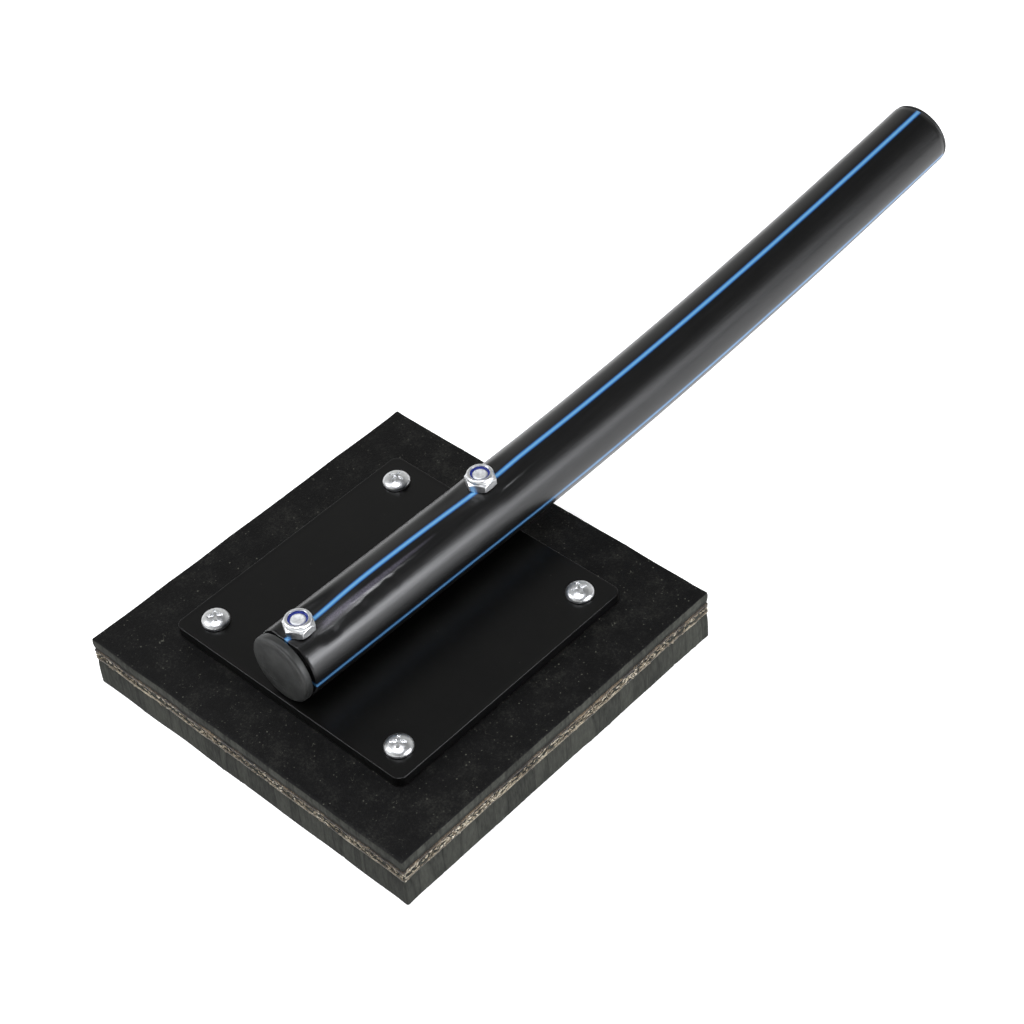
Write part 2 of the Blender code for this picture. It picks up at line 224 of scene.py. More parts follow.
def slabRings(path, outward, shrink, push, height):
    # ring i is the outline drawn in to shrink[i] of itself, moved outwards by push and up to height
    flat = path[None] * shrink[:, None, None] + outward[None] * push[..., None]
    return np.concatenate([flat, height[..., None]], -1)


# ---- materials

print("stage: materials")
rubber = {"cutDark": "20211e", "cutPale": "3a3b36", "dust": "57574f"}


def cutRubber():
    # SBR conveyor rubber, calendered skin above and knife-cut sides: the skin is near black and
    # dull with dust and lint caught in it, the cut sides are a little paler, in bands where the
    # blade stopped and went on
    material, tree, shader = newMaterial("sbrRubberKnifeCut", IOR=1.5, Specular_IOR_Level=0.17)
    place = addNode(tree, "TexCoord").outputs["Object"]
    facing = addNode(tree, "NewGeometry").outputs["True Normal"]
    upDown = addNode(tree, "SeparateXYZ", inputs={"Vector": facing}).outputs["Z"]
    flatness = addNode(tree, "Math", {"operation": "ABSOLUTE"}, {0: upDown}).outputs[0]
    onSkin = addNode(tree, "MapRange", inputs={"Value": flatness, "From Min": 0.45,
                                               "From Max": 0.75}).outputs["Result"]
    # blade bands about 13 mm wide that run down the side, with a thin score between some of them
    upright = addNode(tree, "Mapping", inputs={"Vector": place, "Scale": (1, 1, 0.03)}).outputs[0]
    bands = addNode(tree, "TexVoronoi", inputs={"Vector": upright, "Scale": 1 / 13e-3})
    score = addNode(tree, "TexVoronoi", {"feature": "DISTANCE_TO_EDGE"},
                    {"Vector": upright, "Scale": 1 / 13e-3})
    scored = addNode(tree, "MapRange", inputs={"Value": score.outputs["Distance"],
                                               "From Max": 0.035, "To Min": 0.62, "To Max": 1.0})
    streakPlace = addNode(tree, "Mapping", inputs={"Vector": place, "Scale": (1, 1, 0.25)})
    streak = addNode(tree, "TexNoise", inputs={"Vector": streakPlace.outputs[0],
                                               "Scale": 1 / 1.6e-3, "Detail": 4,
                                               "Roughness": 0.65})
    bandTone = addNode(tree, "SeparateColor", inputs={"Color": bands.outputs["Color"]})
    mixed = addNode(tree, "Mix", {"data_type": "FLOAT"},
                    {0: 0.22, 2: streak.outputs["Fac"], 3: bandTone.outputs["Red"]})
    cutColour = addNode(tree, "ValToRGB", inputs={"Fac": mixed.outputs[0]},
                        stops=[(0.28, rubber["cutDark"]), (0.72, rubber["cutPale"])])
    # painted light and shade: the cut is painted paler along its top edge and darker just above the
    # upper cloth, for light on its swelling top and shade under its tuck
    rise = addNode(tree, "SeparateXYZ", inputs={"Vector": place}).outputs["Z"]
    paintedSlopeShade = addNode(tree, "MapRange", {"interpolation_type": "SMOOTHSTEP"},
                         {"Value": rise, "From Min": 0.0268, "From Max": 0.0293, "To Min": 0.62,
                          "To Max": 1.15})
    below = addNode(tree, "Math", {"operation": "LESS_THAN"}, {0: rise, 1: 0.0245})
    paintedSlopeShade = addNode(tree, "Math", {"operation": "MAXIMUM"},
                         {0: paintedSlopeShade.outputs["Result"], 1: below.outputs[0]})
    # the painted light and shade by height, times the score lines
    shade = addNode(tree, "Math", {"operation": "MULTIPLY"},
                    {0: paintedSlopeShade.outputs[0], 1: scored.outputs["Result"]})
    sideColour = addNode(tree, "VectorMath", {"operation": "SCALE"},
                         {0: cutColour.outputs["Color"], "Scale": shade.outputs[0]})
    # skin: 1 mm grain, cloudy wear, pale specks 0.4 to 1 mm across and short hairs of lint
    grain = addNode(tree, "TexNoise", inputs={"Vector": place, "Scale": 1 / 1.1e-3, "Detail": 5,
                                              "Roughness": 0.75})
    cloud = addNode(tree, "TexNoise", inputs={"Vector": place, "Scale": 1 / 14e-3, "Detail": 3})
    grainy = addNode(tree, "Mix", {"data_type": "FLOAT"},
                     {0: 0.65, 2: cloud.outputs["Fac"], 3: grain.outputs["Fac"]})
    skinColour = addNode(tree, "ValToRGB", inputs={"Fac": grainy.outputs[0]},
                         stops=[(0.42, "010101"), (0.61, "20201d"), (0.52, "070707")])
    speck = addNode(tree, "TexVoronoi", {"voronoi_dimensions": "2D"},
                    {"Vector": place, "Scale": 1 / 2.3e-3})
    speckTone = addNode(tree, "SeparateColor", inputs={"Color": speck.outputs["Color"]})
    speckSize = addNode(tree, "MapRange", inputs={"Value": speckTone.outputs["Red"],
                                                  "From Min": 0.35, "To Max": 0.2})
    inSpeck = addNode(tree, "Math", {"operation": "LESS_THAN"},
                      {0: speck.outputs["Distance"], 1: speckSize.outputs["Result"]})
    hairNoise = addNode(tree, "TexNoise", inputs={"Vector": place, "Scale": 1 / 9e-3, "Detail": 1,
                                                  "Distortion": 1.2})
    hairGap = addNode(tree, "Math", {"operation": "SUBTRACT"},
                      {0: hairNoise.outputs["Fac"], 1: 0.5})
    hairNear = addNode(tree, "Math", {"operation": "ABSOLUTE"}, {0: hairGap.outputs[0]})
    hairLine = addNode(tree, "MapRange", inputs={"Value": hairNear.outputs[0], "From Max": 0.004,
                                                 "To Min": 1.0, "To Max": 0.0})
    hairPatch = addNode(tree, "TexNoise", inputs={"Vector": place, "Scale": 1 / 5e-3, "Detail": 1})
    hairHere = addNode(tree, "Math", {"operation": "GREATER_THAN"},
                       {0: hairPatch.outputs["Fac"], 1: 0.66})
    hair = addNode(tree, "Math", {"operation": "MULTIPLY"},
                   {0: hairLine.outputs["Result"], 1: hairHere.outputs[0]})
    # most specks are faint
    speckShade = addNode(tree, "Math", {"operation": "POWER"},
                         {0: speckTone.outputs["Green"], 1: 5.0})
    strength = addNode(tree, "Math", {"operation": "MULTIPLY"},
                       {0: inSpeck.outputs[0], 1: speckShade.outputs[0]})
    dust = addNode(tree, "Math", {"operation": "MAXIMUM"}, {0: strength.outputs[0],
                                                            1: hair.outputs[0]})
    dusty = addNode(tree, "Mix", {"data_type": "RGBA"},
                    {0: dust.outputs[0], 6: skinColour.outputs["Color"],
                     7: toLinear(rubber["dust"])})
    colour = addNode(tree, "Mix", {"data_type": "RGBA"},
                     {0: onSkin, 6: sideColour.outputs[0], 7: dusty.outputs[2]})
    tree.links.new(colour.outputs[2], shader.inputs["Base Color"])
    rough = addNode(tree, "MapRange", inputs={"Value": onSkin, "To Min": 0.9, "To Max": 0.5})
    tree.links.new(rough.outputs["Result"], shader.inputs["Roughness"])
    relief = addNode(tree, "Mix", {"data_type": "FLOAT"},
                     {0: onSkin, 2: streak.outputs["Fac"], 3: grain.outputs["Fac"]})
    bump = addNode(tree, "Bump", inputs={"Height": relief.outputs[0], "Distance": 0.0003,
                                         "Strength": 1.0})
    tree.links.new(bump.outputs["Normal"], shader.inputs["Normal"])
    return material


def plyCloth(name, dark, middle, pale):
    # polyester carcass cloth, woven and dipped in brown bonding latex: cream yarn ends with brown
    material, tree, shader = newMaterial(name, Roughness=0.9, IOR=1.5)
    shader.inputs["Sheen Weight"].default_value = 0.3
    place = addNode(tree, "TexCoord").outputs["Object"]
    yarn = addNode(tree, "TexNoise", inputs={"Vector": place, "Scale": 1 / 0.8e-3, "Detail": 4,
                                             "Roughness": 0.65})
    patch = addNode(tree, "TexNoise", inputs={"Vector": place, "Scale": 1 / 11e-3, "Detail": 3})
    mixed = addNode(tree, "Mix", {"data_type": "FLOAT"},
                    {0: 0.5, 2: yarn.outputs["Fac"], 3: patch.outputs["Fac"]})
    colour = addNode(tree, "ValToRGB", inputs={"Fac": mixed.outputs[0]},
                     stops=[(0.40, dark), (0.62, pale), (0.5, middle)])
    tree.links.new(colour.outputs["Color"], shader.inputs["Base Color"])
    bump = addNode(tree, "Bump", inputs={"Height": yarn.outputs["Fac"], "Distance": 0.0002})
    tree.links.new(bump.outputs["Normal"], shader.inputs["Normal"])
    return material


def frayFibre():
    # loose polyester filament: each fibre its own tone, from latex brown to bare cream
    material, tree, shader = newMaterial("looseFilament", Roughness=0.75, IOR=1.5)
    tone = addNode(tree, "Attribute", {"attribute_name": "tone"}).outputs["Fac"]
    colour = addNode(tree, "ValToRGB", inputs={"Fac": tone},
                     stops=[(0.0, "292520"), (1.0, "e2dac8"), (0.45, "7b6e5a"), (0.75, "b0a58f")])
    tree.links.new(colour.outputs["Color"], shader.inputs["Base Color"])
    return material


def plateSheet():
    # black polyethylene sheet, pressed smooth: a soft mirror with faint wipe marks and dust
    material, tree, shader = newMaterial("pressedPolyethyleneSheet", IOR=1.5, Roughness=0.2,
                                         Specular_IOR_Level=0.33)
    place = addNode(tree, "TexCoord").outputs["Object"]
    cloud = addNode(tree, "TexNoise", inputs={"Vector": place, "Scale": 1 / 30e-3, "Detail": 4,
                                              "Roughness": 0.6})
    gritNoise = addNode(tree, "TexNoise", inputs={"Vector": place, "Scale": 1 / 2.4e-3, "Detail": 2,
                                                  "Roughness": 0.8})
    grit = addNode(tree, "ValToRGB", inputs={"Fac": gritNoise.outputs["Fac"]},
                   stops=[(0.735, "000000"), (0.79, "8a8a8a")])
    base = addNode(tree, "ValToRGB", inputs={"Fac": cloud.outputs["Fac"]},
                   stops=[(0.3, "020202"), (0.7, "060605")])
    colour = addNode(tree, "Mix", {"data_type": "RGBA"},
                     {0: grit.outputs["Color"], 6: base.outputs["Color"], 7: toLinear("6b6b66")})
    tree.links.new(colour.outputs[2], shader.inputs["Base Color"])
    # wipe marks: wide noise pulled out into arcs
    wipe = addNode(tree, "TexNoise", inputs={"Vector": place, "Scale": 1 / 3e-3, "Detail": 5,
                                             "Distortion": 2.5})
    rough = addNode(tree, "MapRange", inputs={"Value": wipe.outputs["Fac"], "From Min": 0.3,
                                              "From Max": 0.7, "To Min": 0.285, "To Max": 0.34})
    tree.links.new(rough.outputs["Result"], shader.inputs["Roughness"])
    bump = addNode(tree, "Bump", inputs={"Height": cloud.outputs["Fac"], "Distance": 0.00005})
    tree.links.new(bump.outputs["Normal"], shader.inputs["Normal"])
    return material


def zincSteel(name, smooth, dull):
    # zinc plated steel: nearly white metal, lightly orange-peeled and marked in the barrel. The
    # screws come bright, the nuts duller, and the sheared bolt ends are matt
    material, tree, shader = newMaterial(name, Metallic=1.0)
    place = addNode(tree, "TexCoord").outputs["Object"]
    mottle = addNode(tree, "TexNoise", inputs={"Vector": place, "Scale": 1 / 1.6e-3, "Detail": 4,
                                               "Roughness": 0.6})
    colour = addNode(tree, "ValToRGB", inputs={"Fac": mottle.outputs["Fac"]},
                     stops=[(0.3, "dcdee0"), (0.7, "f7f8f8")])
    tree.links.new(colour.outputs["Color"], shader.inputs["Base Color"])
    rough = addNode(tree, "MapRange", inputs={"Value": mottle.outputs["Fac"], "From Min": 0.3,
                                              "From Max": 0.7, "To Min": smooth, "To Max": dull})
    tree.links.new(rough.outputs["Result"], shader.inputs["Roughness"])
    bump = addNode(tree, "Bump", inputs={"Height": mottle.outputs["Fac"], "Distance": 0.00006})
    tree.links.new(bump.outputs["Normal"], shader.inputs["Normal"])
    return material


def nylonRing():
    # dyed nylon 6 locking ring, turned: dark blue with a waxy shine
    material, tree, shader = newMaterial("dyedNylon", IOR=1.53, Roughness=0.38)
    place = addNode(tree, "TexCoord").outputs["Object"]
    cloud = addNode(tree, "TexNoise", inputs={"Vector": place, "Scale": 1 / 0.7e-3, "Detail": 3})
    colour = addNode(tree, "ValToRGB", inputs={"Fac": cloud.outputs["Fac"]},
                     stops=[(0.3, "101a5c"), (0.7, "1d2f8f")])
    tree.links.new(colour.outputs["Color"], shader.inputs["Base Color"])
    return material


def stripedPipe():
    # black HDPE water pipe, extruded with blue stripes let into the wall: waxy half-gloss that is
    # drawn out in fine lines along the pipe, with four stripes a quarter turn apart
    material, tree, shader = newMaterial("extrudedStripedHdpe", IOR=1.52, Roughness=0.3)
    around = addNode(tree, "Attribute", {"attribute_name": "stripeTurn"}).outputs["Vector"]
    split = addNode(tree, "SeparateXYZ", inputs={"Vector": around})
    away = addNode(tree, "Math", {"operation": "ARCTAN2"},
                   {0: split.outputs["Y"], 1: split.outputs["X"]})
    offset = addNode(tree, "Math", {"operation": "ABSOLUTE"}, {0: away.outputs[0]})
    outOfStripe = addNode(tree, "MapRange", inputs={"Value": offset.outputs[0],
                                                    "From Max": pipe["stripeEdge"]})
    along = addNode(tree, "Attribute", {"attribute_name": "pipePlace"}).outputs["Vector"]
    drawn = addNode(tree, "Mapping", inputs={"Vector": along, "Scale": (1, 1, 0.015)})
    lines = addNode(tree, "TexNoise", inputs={"Vector": drawn.outputs[0], "Scale": 1 / 0.5e-3,
                                              "Detail": 3, "Roughness": 0.6})
    cloud = addNode(tree, "TexNoise", inputs={"Vector": along, "Scale": 1 / 20e-3, "Detail": 3})
    black = addNode(tree, "ValToRGB", inputs={"Fac": cloud.outputs["Fac"]},
                    stops=[(0.3, "050505"), (0.7, "090909")])
    # the blue is pale in the middle and thins over the black at its edges
    uneven = addNode(tree, "Math", {"operation": "MULTIPLY_ADD"},
                     {0: lines.outputs["Fac"], 1: 0.16, 2: -0.08})
    shifted = addNode(tree, "Math", {"operation": "ADD"},
                      {0: outOfStripe.outputs["Result"], 1: uneven.outputs[0]})
    blue = addNode(tree, "ValToRGB", inputs={"Fac": shifted.outputs[0]},
                   stops=[(0.0, "6c9fc2"), (0.72, "183f74"), (0.38, "4583b8")])
    inside = addNode(tree, "MapRange", inputs={"Value": shifted.outputs[0], "From Min": 0.97,
                                               "From Max": 0.66})
    # painted shade: the two side stripes are painted darker than the crown stripe, for the light
    # from above that falls on the crown and not on the sides
    upright = addNode(tree, "SeparateXYZ", inputs={"Vector": along}).outputs["X"]
    fromSide = addNode(tree, "Math", {"operation": "ABSOLUTE"}, {0: upright}).outputs[0]
    paintedSideShade = addNode(tree, "MapRange", inputs={"Value": fromSide, "From Max": 0.012,
                                               "To Min": 0.42, "To Max": 1.0})
    striped = addNode(tree, "Math", {"operation": "MULTIPLY"},
                      {0: inside.outputs["Result"], 1: paintedSideShade.outputs["Result"]})
    colour = addNode(tree, "Mix", {"data_type": "RGBA"},
                     {0: striped.outputs[0], 6: black.outputs["Color"],
                      7: blue.outputs["Color"]})
    # scuffs beside the front nut, where the spanner slipped, and a painted highlight: a lilac-grey
    # band along the front fold for the side lamp's reflection there
    scuffed = addNode(tree, "Attribute", {"attribute_name": "scuff"}).outputs["Fac"]
    scrape = addNode(tree, "TexNoise", inputs={"Vector": along, "Scale": 1 / 1.1e-3, "Detail": 4,
                                               "Roughness": 0.75})
    paintedHighlightHere = addNode(tree, "Attribute", {"attribute_name": "paintedFoldHighlight"}).outputs["Fac"]
    paintedHighlightBroken = addNode(tree, "MapRange", inputs={"Value": scrape.outputs["Fac"], "From Min": 0.3,
                                                   "From Max": 0.6, "To Min": 0.35, "To Max": 1.0})
    paintedHighlightMask = addNode(tree, "Math", {"operation": "MULTIPLY"},
                    {0: paintedHighlightHere, 1: paintedHighlightBroken.outputs["Result"]})
    # painted highlight: lilac-grey mixed into the colour along the front fold
    withPaintedHighlight = addNode(tree, "Mix", {"data_type": "RGBA"},
                     {0: paintedHighlightMask.outputs[0], 6: colour.outputs[2], 7: toLinear("5c5964")})
    tree.links.new(withPaintedHighlight.outputs[2], shader.inputs["Base Color"])
    rough = addNode(tree, "MapRange", inputs={"Value": lines.outputs["Fac"], "From Min": 0.3,
                                              "From Max": 0.7, "To Min": 0.28, "To Max": 0.37})
    tree.links.new(rough.outputs["Result"], shader.inputs["Roughness"])
    fine = addNode(tree, "Bump", inputs={"Height": lines.outputs["Fac"], "Distance": 0.00002})
    coarse = addNode(tree, "Bump", inputs={"Height": scrape.outputs["Fac"], "Strength": scuffed,
                                           "Distance": 0.0006, "Normal": fine.outputs["Normal"]})
    tree.links.new(coarse.outputs["Normal"], shader.inputs["Normal"])
    return material


def plugPlastic(name, dark, pale):
    # black LDPE, injection moulded in a spark-eroded mould: an even dull grey-black
    material, tree, shader = newMaterial(name, IOR=1.51, Roughness=0.5)
    place = addNode(tree, "TexCoord").outputs["Object"]
    grain = addNode(tree, "TexNoise", inputs={"Vector": place, "Scale": 1 / 0.35e-3, "Detail": 3,
                                              "Roughness": 0.6})
    cloud = addNode(tree, "TexNoise", inputs={"Vector": place, "Scale": 1 / 8e-3, "Detail": 4})
    colour = addNode(tree, "ValToRGB", inputs={"Fac": cloud.outputs["Fac"]},
                     stops=[(0.36, dark), (0.64, pale)])
    tree.links.new(colour.outputs["Color"], shader.inputs["Base Color"])
    bump = addNode(tree, "Bump", inputs={"Height": grain.outputs["Fac"], "Distance": 0.00005})
    tree.links.new(bump.outputs["Normal"], shader.inputs["Normal"])
    return material


# ---- rubber pad

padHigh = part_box("pad_top_cover")[1]
pad = {
    "half": padHigh.x,
    "cornerRadius": 0.5 * mm,
    "runSteps": 250,         # points along each side
    "arcSteps": 4,
    "cutWander": 0.28 * mm,  # how far the blade strays from a true side
    "bladeMarks": 120,       # upright ridges round the pad
    "markDepth": 0.09 * mm,
    "bandWander": 0.35 * mm, # how far the ply lines rise and fall
    "cornerStand": 0.25 * mm,  # how far the corners are left standing out
    "cornerFade": 5 * mm,
    "rowHeight": 0.85 * mm,  # of the mesh, down each cut side
    "lip": 0.25 * mm,        # rounding of each layer's edge
    "yarn": 0.3 * mm,        # how far the cloth swells out of the cut
    "play": 0.3 * mm,        # between a screw and its hole
    "pocket": (12 * mm, 13 * mm),      # radius and depth, for the nuts below
    "headRoom": (10.5 * mm, 7.5 * mm), # radius and depth, for the bolt heads under the plate
    "seed": 11,
}
padPath, padOut = squarePath(pad["half"], pad["cornerRadius"], pad["runSteps"], pad["arcSteps"])
padTurns = np.arange(len(padPath)) / len(padPath)
padRng = np.random.default_rng(pad["seed"])
markPlace = padRng.uniform(0, 1, pad["bladeMarks"])
markLean = padRng.normal(0, 0.10, pad["bladeMarks"])
markWide = padRng.uniform(0.5, 1.8, pad["bladeMarks"]) * mm
markHigh = padRng.normal(0, 1, pad["bladeMarks"]) * pad["markDepth"]
perimeter = 8 * pad["half"]
# 1 on the corners, fading over the last few millimetres of each side
nearCorner = np.exp(-((pad["half"] - abs(padPath).min(1)) / pad["cornerFade"]) ** 2)


def cutFace(height):
    # how far the side stands out: slow blade wander + upright ridges, each a narrow bell
    # exp(-(distance along the side / width)^2) whose place leans with height. At the corners both
    # give way to cornerStand
    rows = []
    for h in np.atleast_1d(height):
        gap = padTurns[:, None] - markPlace - markLean * h / perimeter
        gap = (gap + 0.5) % 1 - 0.5
        ridges = (markHigh * np.exp(-(gap * perimeter / markWide) ** 2)).sum(1)
        slow = pad["cutWander"] * waves(padTurns + 0.3 * h, np.arange(5, 26), 3) * 0.5
        rows.append((slow + ridges) * (1 - nearCorner) + pad["cornerStand"] * nearCorner)
    return np.array(rows)


def bandLine(height, seed):
    # a boundary between layers at the cut edge: level + two sets of slow waves
    shared = waves(padTurns, np.arange(6, 30), 5)
    own = waves(padTurns, np.arange(20, 90), seed)
    return height + pad["bandWander"] * (0.55 * shared + 0.45 * own)


def padLayer(name, node, topLine, bottomLine, bulge, material, cutters):
    # profile: level top drawn out from the middle, down the cut side, level underside back in.
    # The side stands out by cutFace + bulge(v), v going from 0 at its top to 1 at its foot.
    low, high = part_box(node)
    thick = high.z - low.z
    rows = max(4, int(round(thick / pad["rowHeight"])))
    v = np.linspace(0, 1, rows + 1)
    top, bottom = topLine(high.z), bottomLine(low.z)
    sideHeight = top + (bottom - top) * v[:, None]
    push = cutFace(sideHeight.mean(1)) + bulge(v)[:, None]
    draw = np.array([0.3, 0.6, 0.85, 0.95, 0.985])
    flat = np.ones((len(draw), len(padPath)))
    shrink = np.concatenate([draw, np.ones(rows + 3), draw[::-1]])
    lip = pad["lip"]
    pushes = np.concatenate([0 * flat, push[:1] - lip, push, push[-1:] - lip, 0 * flat])
    heights = np.concatenate([flat * high.z, top[None], sideHeight, bottom[None], flat * low.z])
    heights[len(draw) + 1] -= lip * 0.6
    heights[len(draw) + 1 + rows] += lip * 0.3
    rings = slabRings(padPath, padOut, shrink, pushes, heights)
    mesh = loftMesh(name, rings, "poles")
    addPiece(name, mesh, material, [node], 50, cutters)


def makePad():
    # two cut plies with a line of cloth under each
    print("stage: pad")
    rubberMaterial = cutRubber()
    upperCloth = plyCloth("brownDippedCloth", "1a1815", "352e26", "75654f")
    lowerCloth = plyCloth("paleDippedCloth", "211f1b", "5b5346", "a29882")
    flatFace = lambda h: np.full(len(padPath), h)
    line = lambda seed: lambda h: bandLine(h, seed)
    # how far each layer stands out of the cut, by its share v of the way down. The top cover
    # swells under its edge and tucks in above the cloth, the skim is hollow between the plies,
    # and the bottom cover comes out again below its tuck
    topSwell = lambda v: (0.3 * np.sin(np.pi * np.clip(v * 1.4, 0, 1))
                          - 0.35 * smoothStep((v - 0.7) * 4)) * mm
    clothSwell = lambda v: pad["yarn"] * np.sin(np.pi * v)
    skimHollow = lambda v: -0.35 * np.sin(np.pi * v) * mm
    footSwell = lambda v: (0.3 * smoothStep(v * 1.5) - 0.35 * np.exp(-(v / 0.12) ** 2)) * mm
    pocketRadius, pocketDepth = pad["pocket"]
    roomRadius, roomDepth = pad["headRoom"]
    screwHole = holeCutters(screw["shank"] + pad["play"], screw["places"])
    pocket = holeCutters(pocketRadius, screw["places"], top=pocketDepth)
    headRoom = holeCutters(roomRadius, boltPlaces, bottom=padHigh.z - roomDepth)
    padLayer("topCover", "pad_top_cover", flatFace, line(21), topSwell, rubberMaterial,
             screwHole + headRoom)
    padLayer("upperPly", "pad_upper_ply", line(21), line(22), clothSwell, upperCloth,
             screwHole)
    padLayer("skimRubber", "pad_skim_rubber", line(22), line(23), skimHollow, rubberMaterial,
             screwHole)
    padLayer("lowerPly", "pad_lower_ply", line(23), line(24), clothSwell, lowerCloth,
             screwHole)
    padLayer("bottomCover", "pad_bottom_cover", line(24), flatFace, footSwell, rubberMaterial,
             screwHole + pocket)
    dropCutters(screwHole + pocket + headRoom)


# ---- frayed cloth at the cut edges

fray = {
    "bunches": 980,          # a cut yarn end every 0.9 mm or so
    "fibres": 5,             # in each bunch
    "reach": (0.5 * mm, 1.9 * mm),    # how far each fibre runs along the side
    "thick": (0.08 * mm, 0.21 * mm),
    "lift": (0.08 * mm, 0.45 * mm),   # how far it stands off the cut
    "stations": 5,
    "sides": 4,
    "seed": 5,
}


def runTogether(turns):
    # 1 where the blade has dragged both cloths into one band, 0 where they stay apart
    gap = (turns - 0.085 + 0.5) % 1 - 0.5
    return np.clip(np.exp(-(gap / 0.085) ** 4) + 0.45 * waves(turns, np.arange(3, 11), 8), 0, 1)


def makeFray(name, node, seed, drop, spread, drag, tones, keep):
    # each fibre is a thin tube carried along: s0 + run u, lift sin(pi u), height + climb u + wave.
    # It belongs to a bunch with its own height, slope and tone; drag pulls bunches up or down by
    # drag * runTogether, and keep is the share of bunches left where the cloths stay apart
    low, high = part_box(node)
    rng = np.random.default_rng(fray["seed"] + seed)
    bunches, each, stations, sides = (fray[k] for k in ("bunches", "fibres", "stations", "sides"))
    home = (np.arange(bunches) + rng.uniform(-0.5, 0.5, bunches)) / bunches
    band = runTogether(home)
    left = rng.uniform(0, 1, bunches) < keep + (1 - keep) * band
    home, band = home[left], band[left]
    bunches = len(home)
    level = rng.normal(-drop, spread, bunches) + drag * band * rng.uniform(0.2, 1.2, bunches)
    climb = rng.normal(0, 0.55, bunches)
    tone = np.clip(rng.normal(tones[0], tones[1], bunches) + 0.25 * band
                   + 0.12 * waves(home, np.arange(4, 30), 9), 0, 1)
    way = np.where(rng.uniform(0, 1, bunches) < 0.75, 1, -1)
    count = bunches * each
    spreadOut = lambda values: np.repeat(values, each)[:, None]
    draw = lambda pair: rng.uniform(pair[0], pair[1], (count, 1))
    u = np.linspace(0, 1, stations)[None]
    run = draw(fray["reach"]) * spreadOut(way)
    start = spreadOut(home) + rng.normal(0, 0.35 * mm / perimeter, (count, 1))
    turns = (start + run * u / perimeter) % 1
    centreLine = bandLine(0.5 * (low.z + high.z), 22)
    height = (np.interp(turns, padTurns, centreLine, period=1) + spreadOut(level)
              + rng.normal(0, 0.26 * mm, (count, 1)) + spreadOut(climb) * abs(run) * u
              + 0.10 * mm * np.sin(math.tau * (u * 1.2 + rng.uniform(0, 1, (count, 1)))))
    lift = draw(fray["lift"]) * np.sin(np.pi * np.clip(u * 0.92 + 0.04, 0, 1)) - 0.1 * mm
    stand = np.interp(turns, padTurns, cutFace(high.z)[0], period=1) + lift
    x, y = (np.interp(turns, padTurns, padPath[:, k], period=1) for k in (0, 1))
    ox, oy = (np.interp(turns, padTurns, padOut[:, k], period=1) for k in (0, 1))
    centre = np.stack([x + ox * stand, y + oy * stand, height], -1)
    # cross-section: a flattened diamond in the plane of the outward direction and the vertical
    around = math.tau * np.arange(sides) / sides
    thick = draw(fray["thick"]) * (0.35 + 0.65 * np.sin(np.pi * np.clip(u, 0.05, 0.95)))
    outwards = np.stack([ox, oy, 0 * ox], -1)
    ring = (centre[:, :, None] + thick[..., None, None]
            * (0.7 * np.cos(around)[:, None] * outwards[:, :, None]
               + np.sin(around)[:, None] * np.array([0, 0, 1.0])))
    grid = np.arange(stations * sides).reshape(stations, sides)
    a, b = grid[:-1], grid[1:]
    quads = np.stack([a, np.roll(a, -1, 1), np.roll(b, -1, 1), b], -1).reshape(-1, 4)
    quads = np.concatenate([quads, grid[:1, ::-1], grid[-1:]])
    faces = (np.arange(count)[:, None, None] * stations * sides + quads[None]).reshape(-1, 4)
    backwards = np.repeat(run[:, 0] > 0, len(quads))
    faces[backwards] = faces[backwards][:, ::-1]
    mesh = bpy.data.meshes.new(name)
    mesh.from_pydata(ring.reshape(-1, 3).tolist(), [], faces.tolist())
    layer = mesh.attributes.new("tone", "FLOAT", "POINT")
    shade = np.clip(np.repeat(tone, each) + rng.normal(0, 0.17, count), 0, 1)
    layer.data.foreach_set("value", np.repeat(shade, stations * sides).astype(np.float32))
    addPiece(name, mesh, fibreMaterial, [], 60)


# ---- mounting plate

plateLow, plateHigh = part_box("mounting_plate")
plate = {
    "half": plateHigh.x,
    "cornerRadius": 5 * mm,
    "edge": 0.45 * mm,       # rounding of the sawn edge
    "bow": 0.06 * mm,        # how far from flat the sheet is
    "runSteps": 70,
    "arcSteps": 14,
}


def makePlate():
    # top drawn out from the middle, rounded edge, straight side, rounded edge, underside.
    # The top rises and falls by bow * cos(x / 31 mm + 1) * cos(y / 38 mm)
    print("stage: plate")
    path, outward = squarePath(plate["half"], plate["cornerRadius"], plate["runSteps"],
                               plate["arcSteps"])
    e, top, bottom = plate["edge"], plateHigh.z, plateLow.z
    draw = np.concatenate([np.linspace(0.06, 0.96, 16), [0.985]])
    bend = np.radians(np.linspace(0, 90, 6))
    upper = np.stack([-e + e * np.sin(bend), top - e + e * np.cos(bend)], -1)
    lower = np.stack([-e + e * np.cos(bend), bottom + e - e * np.sin(bend)], -1)
    rim = np.concatenate([upper, lower])
    ones = np.ones(len(path))
    shrink = np.concatenate([draw, np.ones(len(rim)), draw[::-1]])
    push = np.concatenate([0 * draw, rim[:, 0], 0 * draw])[:, None] * ones
    height = np.concatenate([0 * draw + top, rim[:, 1], 0 * draw + bottom])[:, None] * ones
    rings = slabRings(path, outward, shrink, push, height)
    inner = rings[:len(draw)]
    inner[..., 2] += plate["bow"] * (np.cos(inner[..., 0] / (31 * mm) + 1)
                                     * np.cos(inner[..., 1] / (38 * mm)) - 0.6)
    cutters = holeCutters(screw["shank"] + pad["play"], screw["places"])
    cutters += holeCutters(bolt["radius"] + pad["play"], boltPlaces)
    mesh = loftMesh("plate", rings, "poles")
    addPiece("plate", mesh, plateSheet(), ["mounting_plate"], 40, cutters)
    dropCutters(cutters)


# ---- screws, washers and nuts of the plate

